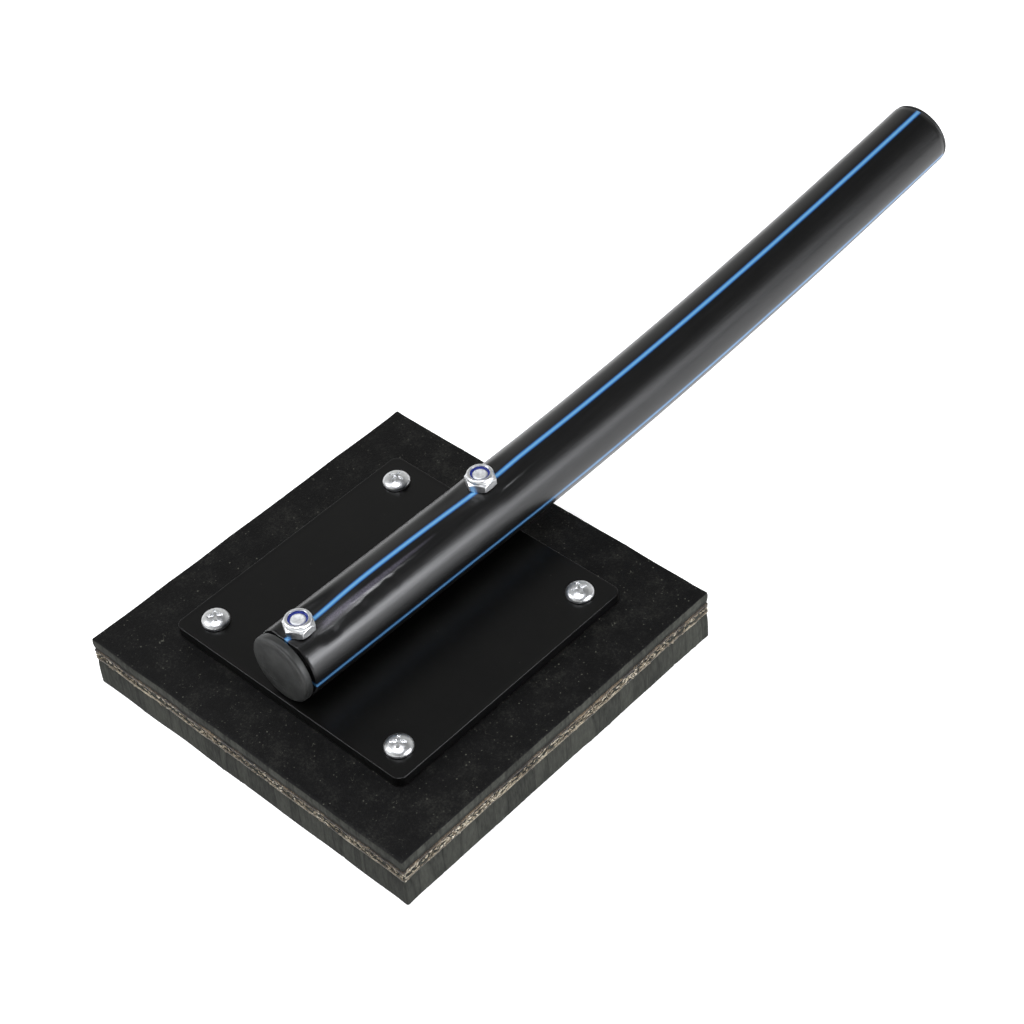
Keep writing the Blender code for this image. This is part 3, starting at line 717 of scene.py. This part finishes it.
screwBoxes = [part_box(f"plate_screw_{k}") for k in (1, 2, 3, 4)]
screw = {
    "places": [((low.x + high.x) / 2, (low.y + high.y) / 2) for low, high in screwBoxes],
    "top": screwBoxes[0][1].z,
    "tip": screwBoxes[0][0].z,
    "seat": plateHigh.z + 0.3 * mm,
    "headRadius": (screwBoxes[0][1].x - screwBoxes[0][0].x) / 2,
    "rim": 0.7 * mm,
    "shank": 4 * mm,
    "pitch": 1.25 * mm,
    "threadDepth": 0.62 * mm,
    "recessReach": 4.1 * mm,
    "pitRadius": 1.35 * mm,
    "recessHalf": 0.8 * mm,
    "recessDepth": 1.5 * mm,
    "recessTurns": (52, 40, 12, 60),
    "washerBore": 4.3 * mm, "washerEdge": 0.35 * mm,
    "nutFlats": 13 * mm, "nutBore": 4.3 * mm, "nutChamfer": 0.58 * mm,
    "steps": 120,
}


def makeScrew(k, material):
    # head: semi-ellipse dome less a cross of two grooves and a pit in the middle, each groove
    # depth * edge(arm) * (1 - 0.5 reach / recessReach), then the rim, the shank, and a thread:
    # radius - threadDepth * (0.5 - 0.5 cos(2 pi z / pitch - a))
    x, y = screw["places"][k]
    seat, top, headR = screw["seat"], screw["top"], screw["headRadius"]
    angle = math.tau * np.arange(screw["steps"]) / screw["steps"]
    share = np.concatenate([np.linspace(0.02, 0.68, 34),
                            np.sin(np.radians(np.linspace(44, 90, 12)))])
    r = share * headR
    rise = np.sqrt(np.clip(1 - (r / headR) ** 2, 0, 1))
    dome = seat + screw["rim"] + (top - seat - screw["rim"]) * rise
    local = angle - math.radians(screw["recessTurns"][k])
    across, along = r[:, None] * np.cos(local), r[:, None] * np.sin(local)
    arm = np.minimum(abs(across), abs(along))
    reach = np.maximum(abs(across), abs(along))
    half = screw["recessHalf"] * (1.15 - 0.35 * reach / screw["recessReach"])
    edge = smoothStep((half - arm) / (0.3 * mm) + 0.5)
    edge *= smoothStep((screw["recessReach"] - reach) / (0.5 * mm) + 0.5)
    pit = smoothStep((screw["pitRadius"] - r[:, None]) / (0.6 * mm) + 0.5)
    groove = edge * (1 - 0.5 * reach / screw["recessReach"])
    deep = screw["recessDepth"] * np.maximum(groove, pit * 0.9)
    head = np.stack([r[:, None] * np.cos(angle), r[:, None] * np.sin(angle),
                     dome[:, None] - deep], -1)
    under = turnedRings(np.array([[headR, seat + 0.15 * mm], [headR - 0.15 * mm, seat],
                                  [screw["shank"], seat]]), screw["steps"], (0, 0, 0))
    z = np.arange(seat - 1 * mm, screw["tip"] + 0.8 * mm, -screw["pitch"] / 6)
    threaded = smoothStep((seat - 7 * mm - z) / (2 * mm))[:, None]
    thread = 0.5 - 0.5 * np.cos(math.tau * z[:, None] / screw["pitch"] - angle)
    shankR = screw["shank"] - screw["threadDepth"] * thread * threaded
    shank = np.stack([shankR * np.cos(angle), shankR * np.sin(angle), z[:, None] + 0 * angle], -1)
    tip = turnedRings(np.array([[screw["shank"] - 0.8 * mm, screw["tip"]],
                                [1 * mm, screw["tip"]]]), screw["steps"], (0, 0, 0))
    rings = np.concatenate([head, under, shank, tip]) + np.array([x, y, 0])
    mesh = loftMesh(f"panScrew{k + 1}", rings, "poles")
    addPiece(f"panScrew{k + 1}", mesh, material, [f"plate_screw_{k + 1}"], 50)


def makeWasher(k, material):
    # a flat ring with its stamped edge rounded on one face
    low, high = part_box(f"screw_washer_{k + 1}")
    outer, t = (high.x - low.x) / 2, high.z - low.z
    inner, soft = screw["washerBore"], screw["washerEdge"]
    profile = np.concatenate([[[inner, 0.0], [outer - soft, 0.0]],
                              roundedTurn(outer - soft, soft, soft, -90, 0, 5),
                              [[outer, t], [outer - 0.1 * mm, t], [inner + 0.2 * mm, t],
                               [inner, t - 0.2 * mm]]])
    rings = turnedRings(profile, 72, (*screw["places"][k], low.z))
    mesh = loftMesh(f"plainWasher{k + 1}", rings, "loop")
    addPiece(f"plainWasher{k + 1}", mesh, material, [f"screw_washer_{k + 1}"])


def makeSmallNut(k, material):
    # a cone-chamfered hexagon: min(turned radius, hexagon)
    low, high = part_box(f"screw_nut_{k + 1}")
    flats, t, bore = screw["nutFlats"], high.z - low.z, screw["nutBore"]
    face, point, drop = flats / 2, flats / math.sqrt(3), screw["nutChamfer"]
    steps = np.linspace(0, 1, 6)
    lower = np.stack([face + (point - face) * steps, drop * steps], -1)
    upper = np.stack([point + (face - point) * steps, t - drop + drop * steps], -1)
    profile = np.concatenate([[[bore, 0.5 * mm], [bore + 0.5 * mm, 0]], lower, upper,
                              [[bore + 0.5 * mm, t], [bore, t - 0.5 * mm]]])
    rings = hexRings(profile, flats, 96, (*screw["places"][k], low.z), 0.4 + 1.1 * k)
    mesh = loftMesh(f"hexNut{k + 1}", rings, "loop")
    addPiece(f"hexNut{k + 1}", mesh, material, [f"screw_nut_{k + 1}"])


# ---- handle bolts and lock nuts

boltBoxes = {name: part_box(f"{name}_handle_bolt") for name in ("front", "rear")}
boltPlaces = [((low.x + high.x) / 2, (low.y + high.y) / 2) for low, high in boltBoxes.values()]
bolt = {
    "radius": 5 * mm,
    "headFlats": 16 * mm,
    "headHeight": 6.4 * mm,
    "pitch": 1.5 * mm,
    "threadDepth": 0.7 * mm,
    "threadLength": 22 * mm,
    "leadIn": 1.3 * mm,      # chamfer at the end
    "steps": 96,
}
lockNut = {
    "flats": 15.2 * mm,
    "cornersAt": math.radians(31),
    "hexHeight": 4.9 * mm,
    "height": 7.5 * mm,
    "collar": 7.4 * mm,
    "lip": 1.5 * mm,
    "mouth": 5.3 * mm,
    "nylonLip": 4.2 * mm,
    "groove": 6.2 * mm, "grooveTop": 0.8 * mm, "grooveFoot": 2.7 * mm,  # down from the top
    "steps": 144,
}


def makeBolt(name, material):
    # hexagon head, shank, rolled thread near the end and a dished, chamfered end
    low, high = boltBoxes[name]
    x, y = (low.x + high.x) / 2, (low.y + high.y) / 2
    r, face, point = bolt["radius"], bolt["headFlats"] / 2, bolt["headFlats"] / math.sqrt(3)
    seat, end = low.z + bolt["headHeight"], high.z
    steps = np.linspace(0, 1, 5)
    head = np.concatenate([[[1 * mm, low.z]], np.stack([face + (point - face) * steps,
                                                       low.z + 0.6 * mm * steps], -1),
                           [[point, seat], [r + 0.4 * mm, seat]]])
    headRings = hexRings(head, bolt["headFlats"], bolt["steps"], (x, y, 0), 0.3)
    angle = math.tau * np.arange(bolt["steps"]) / bolt["steps"]
    z = np.concatenate([np.linspace(seat + 0.4 * mm, end - bolt["threadLength"], 8)[:-1],
                        np.arange(end - bolt["threadLength"], end - bolt["leadIn"],
                                  bolt["pitch"] / 7)])
    threaded = smoothStep((z - end + bolt["threadLength"]) / (2 * mm))[:, None]
    groove = 0.5 - 0.5 * np.cos(math.tau * z[:, None] / bolt["pitch"] + angle)
    shankR = r - bolt["threadDepth"] * groove * threaded
    shank = np.stack([x + shankR * np.cos(angle), y + shankR * np.sin(angle),
                      z[:, None] + 0 * angle], -1)
    last = np.array([[r - bolt["leadIn"], end - 0.15 * mm], [r - 1.5 * mm, end - 0.02 * mm],
                     [r - 1.7 * mm, end], [2.4 * mm, end - 0.12 * mm], [1.3 * mm, end - 0.34 * mm],
                     [0.3 * mm, end - 0.42 * mm]])
    rings = np.concatenate([headRings, shank, turnedRings(last, bolt["steps"], (x, y, 0))])
    mesh = loftMesh(f"{name}Bolt", rings, "poles")
    addPiece(f"{name}Bolt", mesh, material, [f"{name}_handle_bolt"], 50)


def makeLockNut(name, material, nylon):
    # min(turned radius, hexagon): foot chamfer, flats, a long cone chamfer up to the round collar,
    # a rolled lip over the nylon ring, and the bore
    x, y, z = (*boltPlaces[list(boltBoxes).index(name)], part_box(f"{name}_lock_nut")[0].z)
    face, point = lockNut["flats"] / 2, lockNut["flats"] / math.sqrt(3)
    hexTop, top, lip = lockNut["hexHeight"], lockNut["height"], lockNut["lip"]
    bore = bolt["radius"] + 0.3 * mm
    foot = np.stack([np.linspace(face + 0.1 * mm, point, 5), np.linspace(0, 0.5 * mm, 5)], -1)
    cone = np.stack([np.linspace(point, face - 0.25 * mm, 9),
                     np.linspace(hexTop - 1.25 * mm, hexTop, 9)], -1)
    collar = lockNut["collar"]
    crease = [[collar + 0.12 * mm, hexTop + 0.08 * mm], [collar, hexTop + 0.3 * mm]]
    rolled = roundedTurn(collar - lip, top - lip, lip, 0, 90, 8)
    mouth, groove = lockNut["mouth"], lockNut["groove"]
    grooveTop, grooveFoot = top - lockNut["grooveTop"], top - lockNut["grooveFoot"]
    inside = [[mouth + 0.25 * mm, top], [mouth, top - 0.25 * mm], [mouth, grooveTop],
              [groove, grooveTop], [groove, grooveFoot], [bore, grooveFoot], [bore, 0.4 * mm],
              [bore + 0.4 * mm, 0.0]]
    profile = np.concatenate([foot, cone, crease, rolled, inside])
    rings = hexRings(profile, lockNut["flats"], lockNut["steps"], (x, y, z), lockNut["cornersAt"])
    mesh = loftMesh(f"{name}LockNut", rings, "loop")
    addPiece(f"{name}LockNut", mesh, material, [f"{name}_lock_nut"], 32)
    ringLow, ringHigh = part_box(f"{name}_nut_nylon_ring")
    outer, inner = (ringHigh.x - ringLow.x) / 2, bolt["radius"] + 0.1 * mm
    t, soft = ringHigh.z - ringLow.z, 0.3 * mm
    # its upper lip, which the thread has not cut yet, closes in over the bolt's chamfer
    lipR = lockNut["nylonLip"] + soft
    ringProfile = np.concatenate([roundedTurn(lipR, t - soft, soft, 180, 90, 5),
                                  roundedTurn(outer - soft, t - soft, soft, 90, 0, 5),
                                  roundedTurn(outer - soft, soft, soft, 0, -90, 5),
                                  [[inner + soft, 0.0], [inner + 0.15 * mm, 0.1 * mm]]])
    mesh = loftMesh(f"{name}NylonRing", turnedRings(ringProfile, 96, (x, y, ringLow.z)), "loop")
    addPiece(f"{name}NylonRing", mesh, nylon, [f"{name}_nut_nylon_ring"])


# ---- handle pipe

pipe = {
    "radius": 20 * mm,
    "wall": 3.7 * mm,
    "frontY": -74.2 * mm,
    "rearY": 441.6 * mm,
    "endEdge": 0.5 * mm,
    "axisHeight": plateHigh.z + 20.3 * mm,
    "offsetX": 0.36 * mm, "yaw": 0.0105,
    "bendStart": 77.3 * mm, "bendReach": 400 * mm,
    "rise": 50.4 * mm, "ease": 11.6 * mm, "drift": 4.7 * mm,
    # nut place, how deep the crown is pressed in, and how far that fades before and after it
    "dips": ((-64.3 * mm, 2.75 * mm, 12 * mm, 22 * mm), (67.6 * mm, 1.35 * mm, 30 * mm, 14 * mm)),
    "dipFlat": 7.5 * mm,
    "dentHalf": 6.2 * mm, "dentMore": 3.3 * mm, "dentSpan": 12 * mm,  # across, and more by a nut
    # nut place, length of the fold beyond it, its half-width, its angle from the crown, its slope
    "folds": ((-64.3 * mm, 96 * mm, math.radians(6.0), math.radians(28.5), 1.0),
              (67.6 * mm, 36 * mm, math.radians(3.0), math.radians(31), 0.62)),
    # length, half-width and angle from the crown of the painted highlight along the front fold
    "paintedHighlightLength": 90 * mm, "paintedHighlightHalf": math.radians(6.5), "paintedHighlightAngle": math.radians(23.5),
    "stripeStart": math.radians(2.6), "stripeEnd": math.radians(6.8),
    "sideStripe": math.radians(9.5), "sideDrift": math.radians(8.0),
    "stripeEdge": 4 * 1.95 / 20,   # half a stripe's width as an angle, times four
    "angles": np.radians(np.concatenate([np.arange(-48, 56, 0.8),
                                         np.linspace(56, 312, 70, endpoint=False)])),
}


def pipeAxis(y):
    # straight, then x = drift s^2 and z = rise s^2 - ease s^3, with s counted from the bend's start
    s = np.clip(y - pipe["bendStart"], 0, None) / pipe["bendReach"]
    return np.stack([pipe["offsetX"] + pipe["yaw"] * y + pipe["drift"] * s ** 2, y,
                     pipe["axisHeight"] + pipe["rise"] * s ** 2 - pipe["ease"] * s ** 3], -1)


def crownDip(y):
    # at each nut depth * exp(-(beyond / fade)^2), with a different fade on its two sides
    depth = np.zeros_like(y)
    for place, dip, fadeBefore, fadeAfter in pipe["dips"]:
        beyond = np.clip(abs(y - place) - pipe["dipFlat"], 0, None)
        fade = np.where(y < place, fadeBefore, fadeAfter)
        depth += dip * np.exp(-(beyond / fade) ** 1.7)
    return depth


def foldLift(angle, y):
    # plastic that each nut has pushed aside: a wall facing away from the crown,
    # -slope * radius * w * tanh((a - c) / w), whose half-width w shrinks along the pipe
    lift = np.zeros_like(angle)
    jitter = waves(y / (60 * mm), np.arange(1, 9), 31) + 0 * angle
    for nutY, length, wide, place, slope in pipe["folds"]:
        beyond = y - nutY
        t = np.clip(beyond / length, 0, 1)
        shown = smoothStep((beyond + 1 * mm) / (9 * mm)) * (1 - t) ** 0.9
        w = wide * (1 - 0.72 * t ** 0.7) * (1 + 0.18 * jitter)
        off = angle - (place - math.radians(3.5) * t + math.radians(0.5) * jitter)
        lift -= (slope * pipe["radius"] * w * shown * np.tanh(off / w)
                 * np.exp(-(off / 0.26) ** 2))
    return lift


def pipeRings(y, radius):
    # circle of the radius square to the axis; the crown is pressed in by dip * exp(-(x / width)^4)
    # and the folds stand out from it
    axis = pipeAxis(y)
    step = 0.5 * mm
    along = pipeAxis(y + step) - pipeAxis(y - step)
    along /= np.linalg.norm(along, axis=1, keepdims=True)
    side = np.cross(along, [0, 0, 1.0])
    side /= np.linalg.norm(side, axis=1, keepdims=True)
    crown = np.cross(side, along)
    angle = np.tile(pipe["angles"], (len(y), 1))
    # the dent is as wide as the nut beneath it and narrower further off
    near = np.max([np.exp(-((y - dip[0]) / pipe["dentSpan"]) ** 2) for dip in pipe["dips"]], 0)
    across = pipe["dentHalf"] + pipe["dentMore"] * near[:, None]
    pressed = np.exp(-(radius * np.sin(angle) / across) ** 4) * (np.cos(angle) > 0)
    sink = crownDip(y)[:, None] * pressed
    full = radius + foldLift(angle, y[:, None])
    points = (axis[:, None] + side[:, None] * (full * np.sin(angle))[..., None]
              + crown[:, None] * (full * np.cos(angle) - sink)[..., None])
    return points, angle


def makePipe():
    # one closed profile carried round: outside from front to rear, the cut end, the bore back again
    print("stage: pipe")
    front, rear, outside = pipe["frontY"], pipe["rearY"], pipe["radius"]
    soft = pipe["endEdge"]
    outerY = np.concatenate([[front], np.linspace(front + soft, 110 * mm, 170),
                             np.linspace(110 * mm, rear - soft, 120)[1:], [rear]])
    innerY = np.linspace(rear, front, 46)
    outer, outerAngle = pipeRings(outerY, outside)
    inner, innerAngle = pipeRings(innerY, outside - pipe["wall"])
    # the outer edge of each cut end is broken by pulling its first ring in
    axisEnds = pipeAxis(np.array([front, rear]))
    for k, place in ((0, axisEnds[0]), (-1, axisEnds[1])):
        outer[k] = place + (outer[k] - place) * (outside - soft) / outside
    rings = np.concatenate([outer, inner])
    angle = np.concatenate([outerAngle, innerAngle])
    y = np.concatenate([outerY, innerY])[:, None] + 0 * angle
    share = np.clip((y - front) / (rear - front), 0, 1)
    drift = pipe["stripeStart"] + (pipe["stripeEnd"] - pipe["stripeStart"]) * share
    sideways = pipe["sideStripe"] + pipe["sideDrift"] * share ** 3
    drift = drift * np.cos(angle) ** 2 + sideways * np.sin(angle) ** 2
    turn = 4 * (angle - drift)
    stripeTurn = np.stack([np.cos(turn), np.sin(turn), 0 * turn], -1)
    pipePlace = np.stack([outside * np.cos(angle), outside * np.sin(angle), y], -1)
    nutY = pipe["dips"][0][0]
    # scuffs lie in a soft patch beyond the front nut
    scuff = np.exp(-((y - nutY - 14 * mm) / (16 * mm)) ** 2
                   - ((angle - math.radians(24)) / math.radians(13)) ** 2)
    # painted highlight: where the side lamp's lilac-grey reflection lies along the front fold
    t = np.clip((y - nutY) / pipe["paintedHighlightLength"], 0, 1)
    paintedHighlightWide = pipe["paintedHighlightHalf"] * (1 - 0.75 * t)
    paintedHighlightOff = angle - pipe["paintedHighlightAngle"] + math.radians(3) * t
    paintedFoldHighlight = (smoothStep((y - nutY - 4 * mm) / (9 * mm)) * (1 - t) ** 0.6
            * np.exp(-(paintedHighlightOff / paintedHighlightWide) ** 4))
    mesh = loftMesh("stripedPipe", rings, "loop",
                    {"stripeTurn": stripeTurn, "pipePlace": pipePlace, "scuff": scuff,
                     "paintedFoldHighlight": paintedFoldHighlight})
    cutters = holeCutters(bolt["radius"] + pad["play"], boltPlaces, plateHigh.z - 10 * mm, 0.12)
    addPiece("stripedPipe", mesh, stripedPipe(), ["handle_pipe"], 45, cutters)
    dropCutters(cutters)


# ---- end plugs

plug = {
    "radius": 19.7 * mm,
    "frontFlange": 4.4 * mm, "rearFlange": 2.3 * mm,
    "edge": 1.5 * mm,
    "dish": 0.35 * mm,
    "standOff": 2.2 * mm,
    "frontSpigot": 6.2 * mm,
    "rearSpigot": 20 * mm,
    "spigotWall": 2.2 * mm,
    "ribDepth": 0.12 * mm, "ribPitch": 3.1 * mm,
    "play": 0.3 * mm,        # between a spigot and the bore
    "frontNarrower": 2.8 * mm,  # the bore is pressed in at the front nut
    "steps": 128,
}


def makePlug(name, node, y, away, flange, spigot, spigotRadius, material):
    # turned profile: dished face, rounded rim, flange, hollow spigot with two soft ribs.
    # The point at (radius, depth) goes to end - away * depth along the pipe's axis there
    plugR, edge = plug["radius"], plug["edge"]
    share = np.linspace(0.03, 0.90, 14)
    dish = plug["dish"] * (1 - smoothStep((share - 0.72) / 0.2))
    face = np.stack([share * (plugR - edge), flange - dish], -1)
    inner = spigotRadius - plug["spigotWall"]
    ribs = np.linspace(0, -spigot, 12)
    ribDepth = plug["ribDepth"] * (1 - np.cos(math.tau * ribs / plug["ribPitch"]))
    wall = np.stack([spigotRadius - ribDepth, ribs], -1)
    profile = np.concatenate([face, roundedTurn(plugR - edge, flange - edge, edge, 90, 0, 8),
                              [[plugR, 0.5 * mm], [plugR - 0.25 * mm, 0.0],
                               [spigotRadius + 0.2 * mm, 0.0]],
                              wall, [[inner, -spigot], [inner, -0.6 * mm], [0.5 * mm, -0.6 * mm]]])
    flat = turnedRings(profile, plug["steps"], (0, 0, 0))
    station = np.array([y])
    origin = pipeAxis(station)[0]
    along = pipeAxis(station + 0.5 * mm)[0] - pipeAxis(station - 0.5 * mm)[0]
    along /= np.linalg.norm(along)
    side = np.cross(along, [0, 0, 1.0])
    side /= np.linalg.norm(side)
    crown = np.cross(side, along)
    rings = (origin + flat[..., :1] * side + flat[..., 1:2] * crown + flat[..., 2:] * along * away)
    mesh = loftMesh(name, rings, "poles")
    addPiece(name, mesh, material, [node], 40)


# ---- floor, lights and camera

look = {
    "cameraPlace": (0.65293, -0.53726, 0.91558),
    "cameraTarget": (0.00657, 0.08189, 0.05),
    "cameraRoll": 5.209,
    "lens": 82.09,
    "floor": "f4f4f3",
    "floorHalf": 6.0,
    "floorGlow": (0.62, 0.4),    # near the object and beyond
    "glowEnds": (1.0, 1.6),
    "lampColour": (0.95, 0.96, 1.0),
    # name, place, target, width, height, watts
    "lamps": (("sideLamp", (1.45, 0.36, 0.50), (0, 0.05, 0.05), 0.9, 0.6, 22),
              ("frontLamp", (-0.80, -0.90, 0.95), (0, 0, 0.05), 0.42, 0.42, 7),
              ("topLamp", (0.15, -0.35, 1.7), (0, 0.1, 0), 1.0, 1.0, 22)),
}


def softLamp(name, place, target, width, height, watts):
    # a rectangular soft box that faces the target
    data = bpy.data.lights.new(name, "AREA")
    data.shape = "RECTANGLE"
    data.size, data.size_y, data.energy = width, height, watts
    data.color = look["lampColour"]
    lamp = bpy.data.objects.new(name, data)
    lamp.location = place
    lamp.rotation_mode = "QUATERNION"
    lamp.rotation_quaternion = (Vector(target) - Vector(place)).to_track_quat("-Z", "Y")
    bpy.context.scene.collection.objects.link(lamp)


def makeStage():
    # a paper floor, soft lamps, and a camera turned about its line of sight
    print("stage: floor, lights and camera")
    mesh = bpy.data.meshes.new("floor")
    half, under = look["floorHalf"], -0.4 * mm
    mesh.from_pydata([(-half, -half, under), (half, -half, under), (half, half, under),
                      (-half, half, under)], [], [(0, 1, 2, 3)])
    floor = bpy.data.objects.new("floor", mesh)
    bpy.context.scene.collection.objects.link(floor)
    material, tree, shader = newMaterial("paleFloor", Roughness=0.9)
    shader.inputs["Base Color"].default_value = toLinear(look["floor"])
    shader.inputs["Emission Color"].default_value = (1, 1, 1, 1)
    # the paper glows white around the object and a little less further off
    spot = addNode(tree, "TexCoord").outputs["Object"]
    away = addNode(tree, "VectorMath", {"operation": "LENGTH"}, {0: spot})
    (glowNear, glowFar), (nearEnd, farEnd) = look["floorGlow"], look["glowEnds"]
    glow = addNode(tree, "MapRange", {"interpolation_type": "SMOOTHSTEP"},
                   {"Value": away.outputs["Value"], "From Min": nearEnd, "From Max": farEnd,
                    "To Min": glowNear, "To Max": glowFar})
    tree.links.new(glow.outputs["Result"], shader.inputs["Emission Strength"])
    mesh.materials.append(material)
    # studio air: pale near the horizon, dark overhead
    world = bpy.data.worlds.new("studio")
    bpy.context.scene.world = world
    world.use_nodes = True
    tree = world.node_tree
    background = tree.nodes["Background"]
    direction = addNode(tree, "TexCoord").outputs["Generated"]
    up = addNode(tree, "SeparateXYZ", inputs={"Vector": direction}).outputs["Z"]
    shade = addNode(tree, "ValToRGB", inputs={"Fac": up},
                    stops=[(0.0, "cbcbca"), (1.0, "484848"), (0.64, "c2c2c1"), (0.77, "585858")])
    # the right-hand side of the room, low down, is darker
    towards = addNode(tree, "SeparateXYZ", inputs={"Vector": direction}).outputs["X"]
    dim = addNode(tree, "MapRange", inputs={"Value": towards, "From Min": 0.1, "From Max": 0.6,
                                            "To Min": 1.0, "To Max": 0.3})
    shaded = addNode(tree, "VectorMath", {"operation": "SCALE"},
                     {0: shade.outputs["Color"], "Scale": dim.outputs["Result"]})
    tree.links.new(shaded.outputs[0], background.inputs["Color"])
    background.inputs["Strength"].default_value = 1.0
    for lamp in look["lamps"]:
        softLamp(*lamp)
    camera = bpy.data.objects.new("camera", bpy.data.cameras.new("camera"))
    camera.data.lens = look["lens"]
    camera.data.sensor_width = 36
    camera.location = look["cameraPlace"]
    facing = Vector(look["cameraTarget"]) - Vector(look["cameraPlace"])
    camera.rotation_mode = "QUATERNION"
    camera.rotation_quaternion = (facing.to_track_quat("-Z", "Y")
                                  @ Quaternion((0, 0, 1), -math.radians(look["cameraRoll"])))
    bpy.context.scene.collection.objects.link(camera)
    bpy.context.scene.camera = camera
    bpy.context.scene.view_settings.view_transform = "Standard"


makeStage()
fibreMaterial = frayFibre()
makePad()
print("stage: frayed cloth")
makeFray("upperFray", "pad_upper_ply", 1, 1.5 * mm, 0.8 * mm, -1.2 * mm, (0.40, 0.22), 0.95)
makeFray("lowerFray", "pad_lower_ply", 2, -0.5 * mm, 0.65 * mm, 1.6 * mm, (0.41, 0.20), 0.7)
makePlate()
print("stage: fasteners")
brightZinc = zincSteel("brightZincPlate", 0.285, 0.33)
nutZinc = zincSteel("barrelZincPlate", 0.28, 0.38)
boltZinc = zincSteel("shearedZincEnd", 0.50, 0.68)
nylonMaterial = nylonRing()
for number in range(4):
    makeScrew(number, brightZinc)
    makeWasher(number, nutZinc)
    makeSmallNut(number, nutZinc)
for boltName in boltBoxes:
    makeBolt(boltName, boltZinc)
    makeLockNut(boltName, nutZinc, nylonMaterial)
makePipe()
print("stage: plugs")
# the front plug's copy of the plastic is lighter grey than the rear plug's near black one
greyPlug = plugPlastic("paleGreyMouldedLdpe", "161716", "282927")
blackPlug = plugPlastic("mouldedLdpe", "060606", "0d0d0d")
boreRadius = pipe["radius"] - pipe["wall"] - plug["play"]
makePlug("frontPlug", "front_end_plug", pipe["frontY"] - plug["standOff"], -1,
         plug["frontFlange"], plug["frontSpigot"], boreRadius - plug["frontNarrower"], greyPlug)
makePlug("rearPlug", "rear_end_plug", pipe["rearY"] + 0.2 * mm, 1, plug["rearFlange"],
         plug["rearSpigot"], boreRadius, blackPlug)
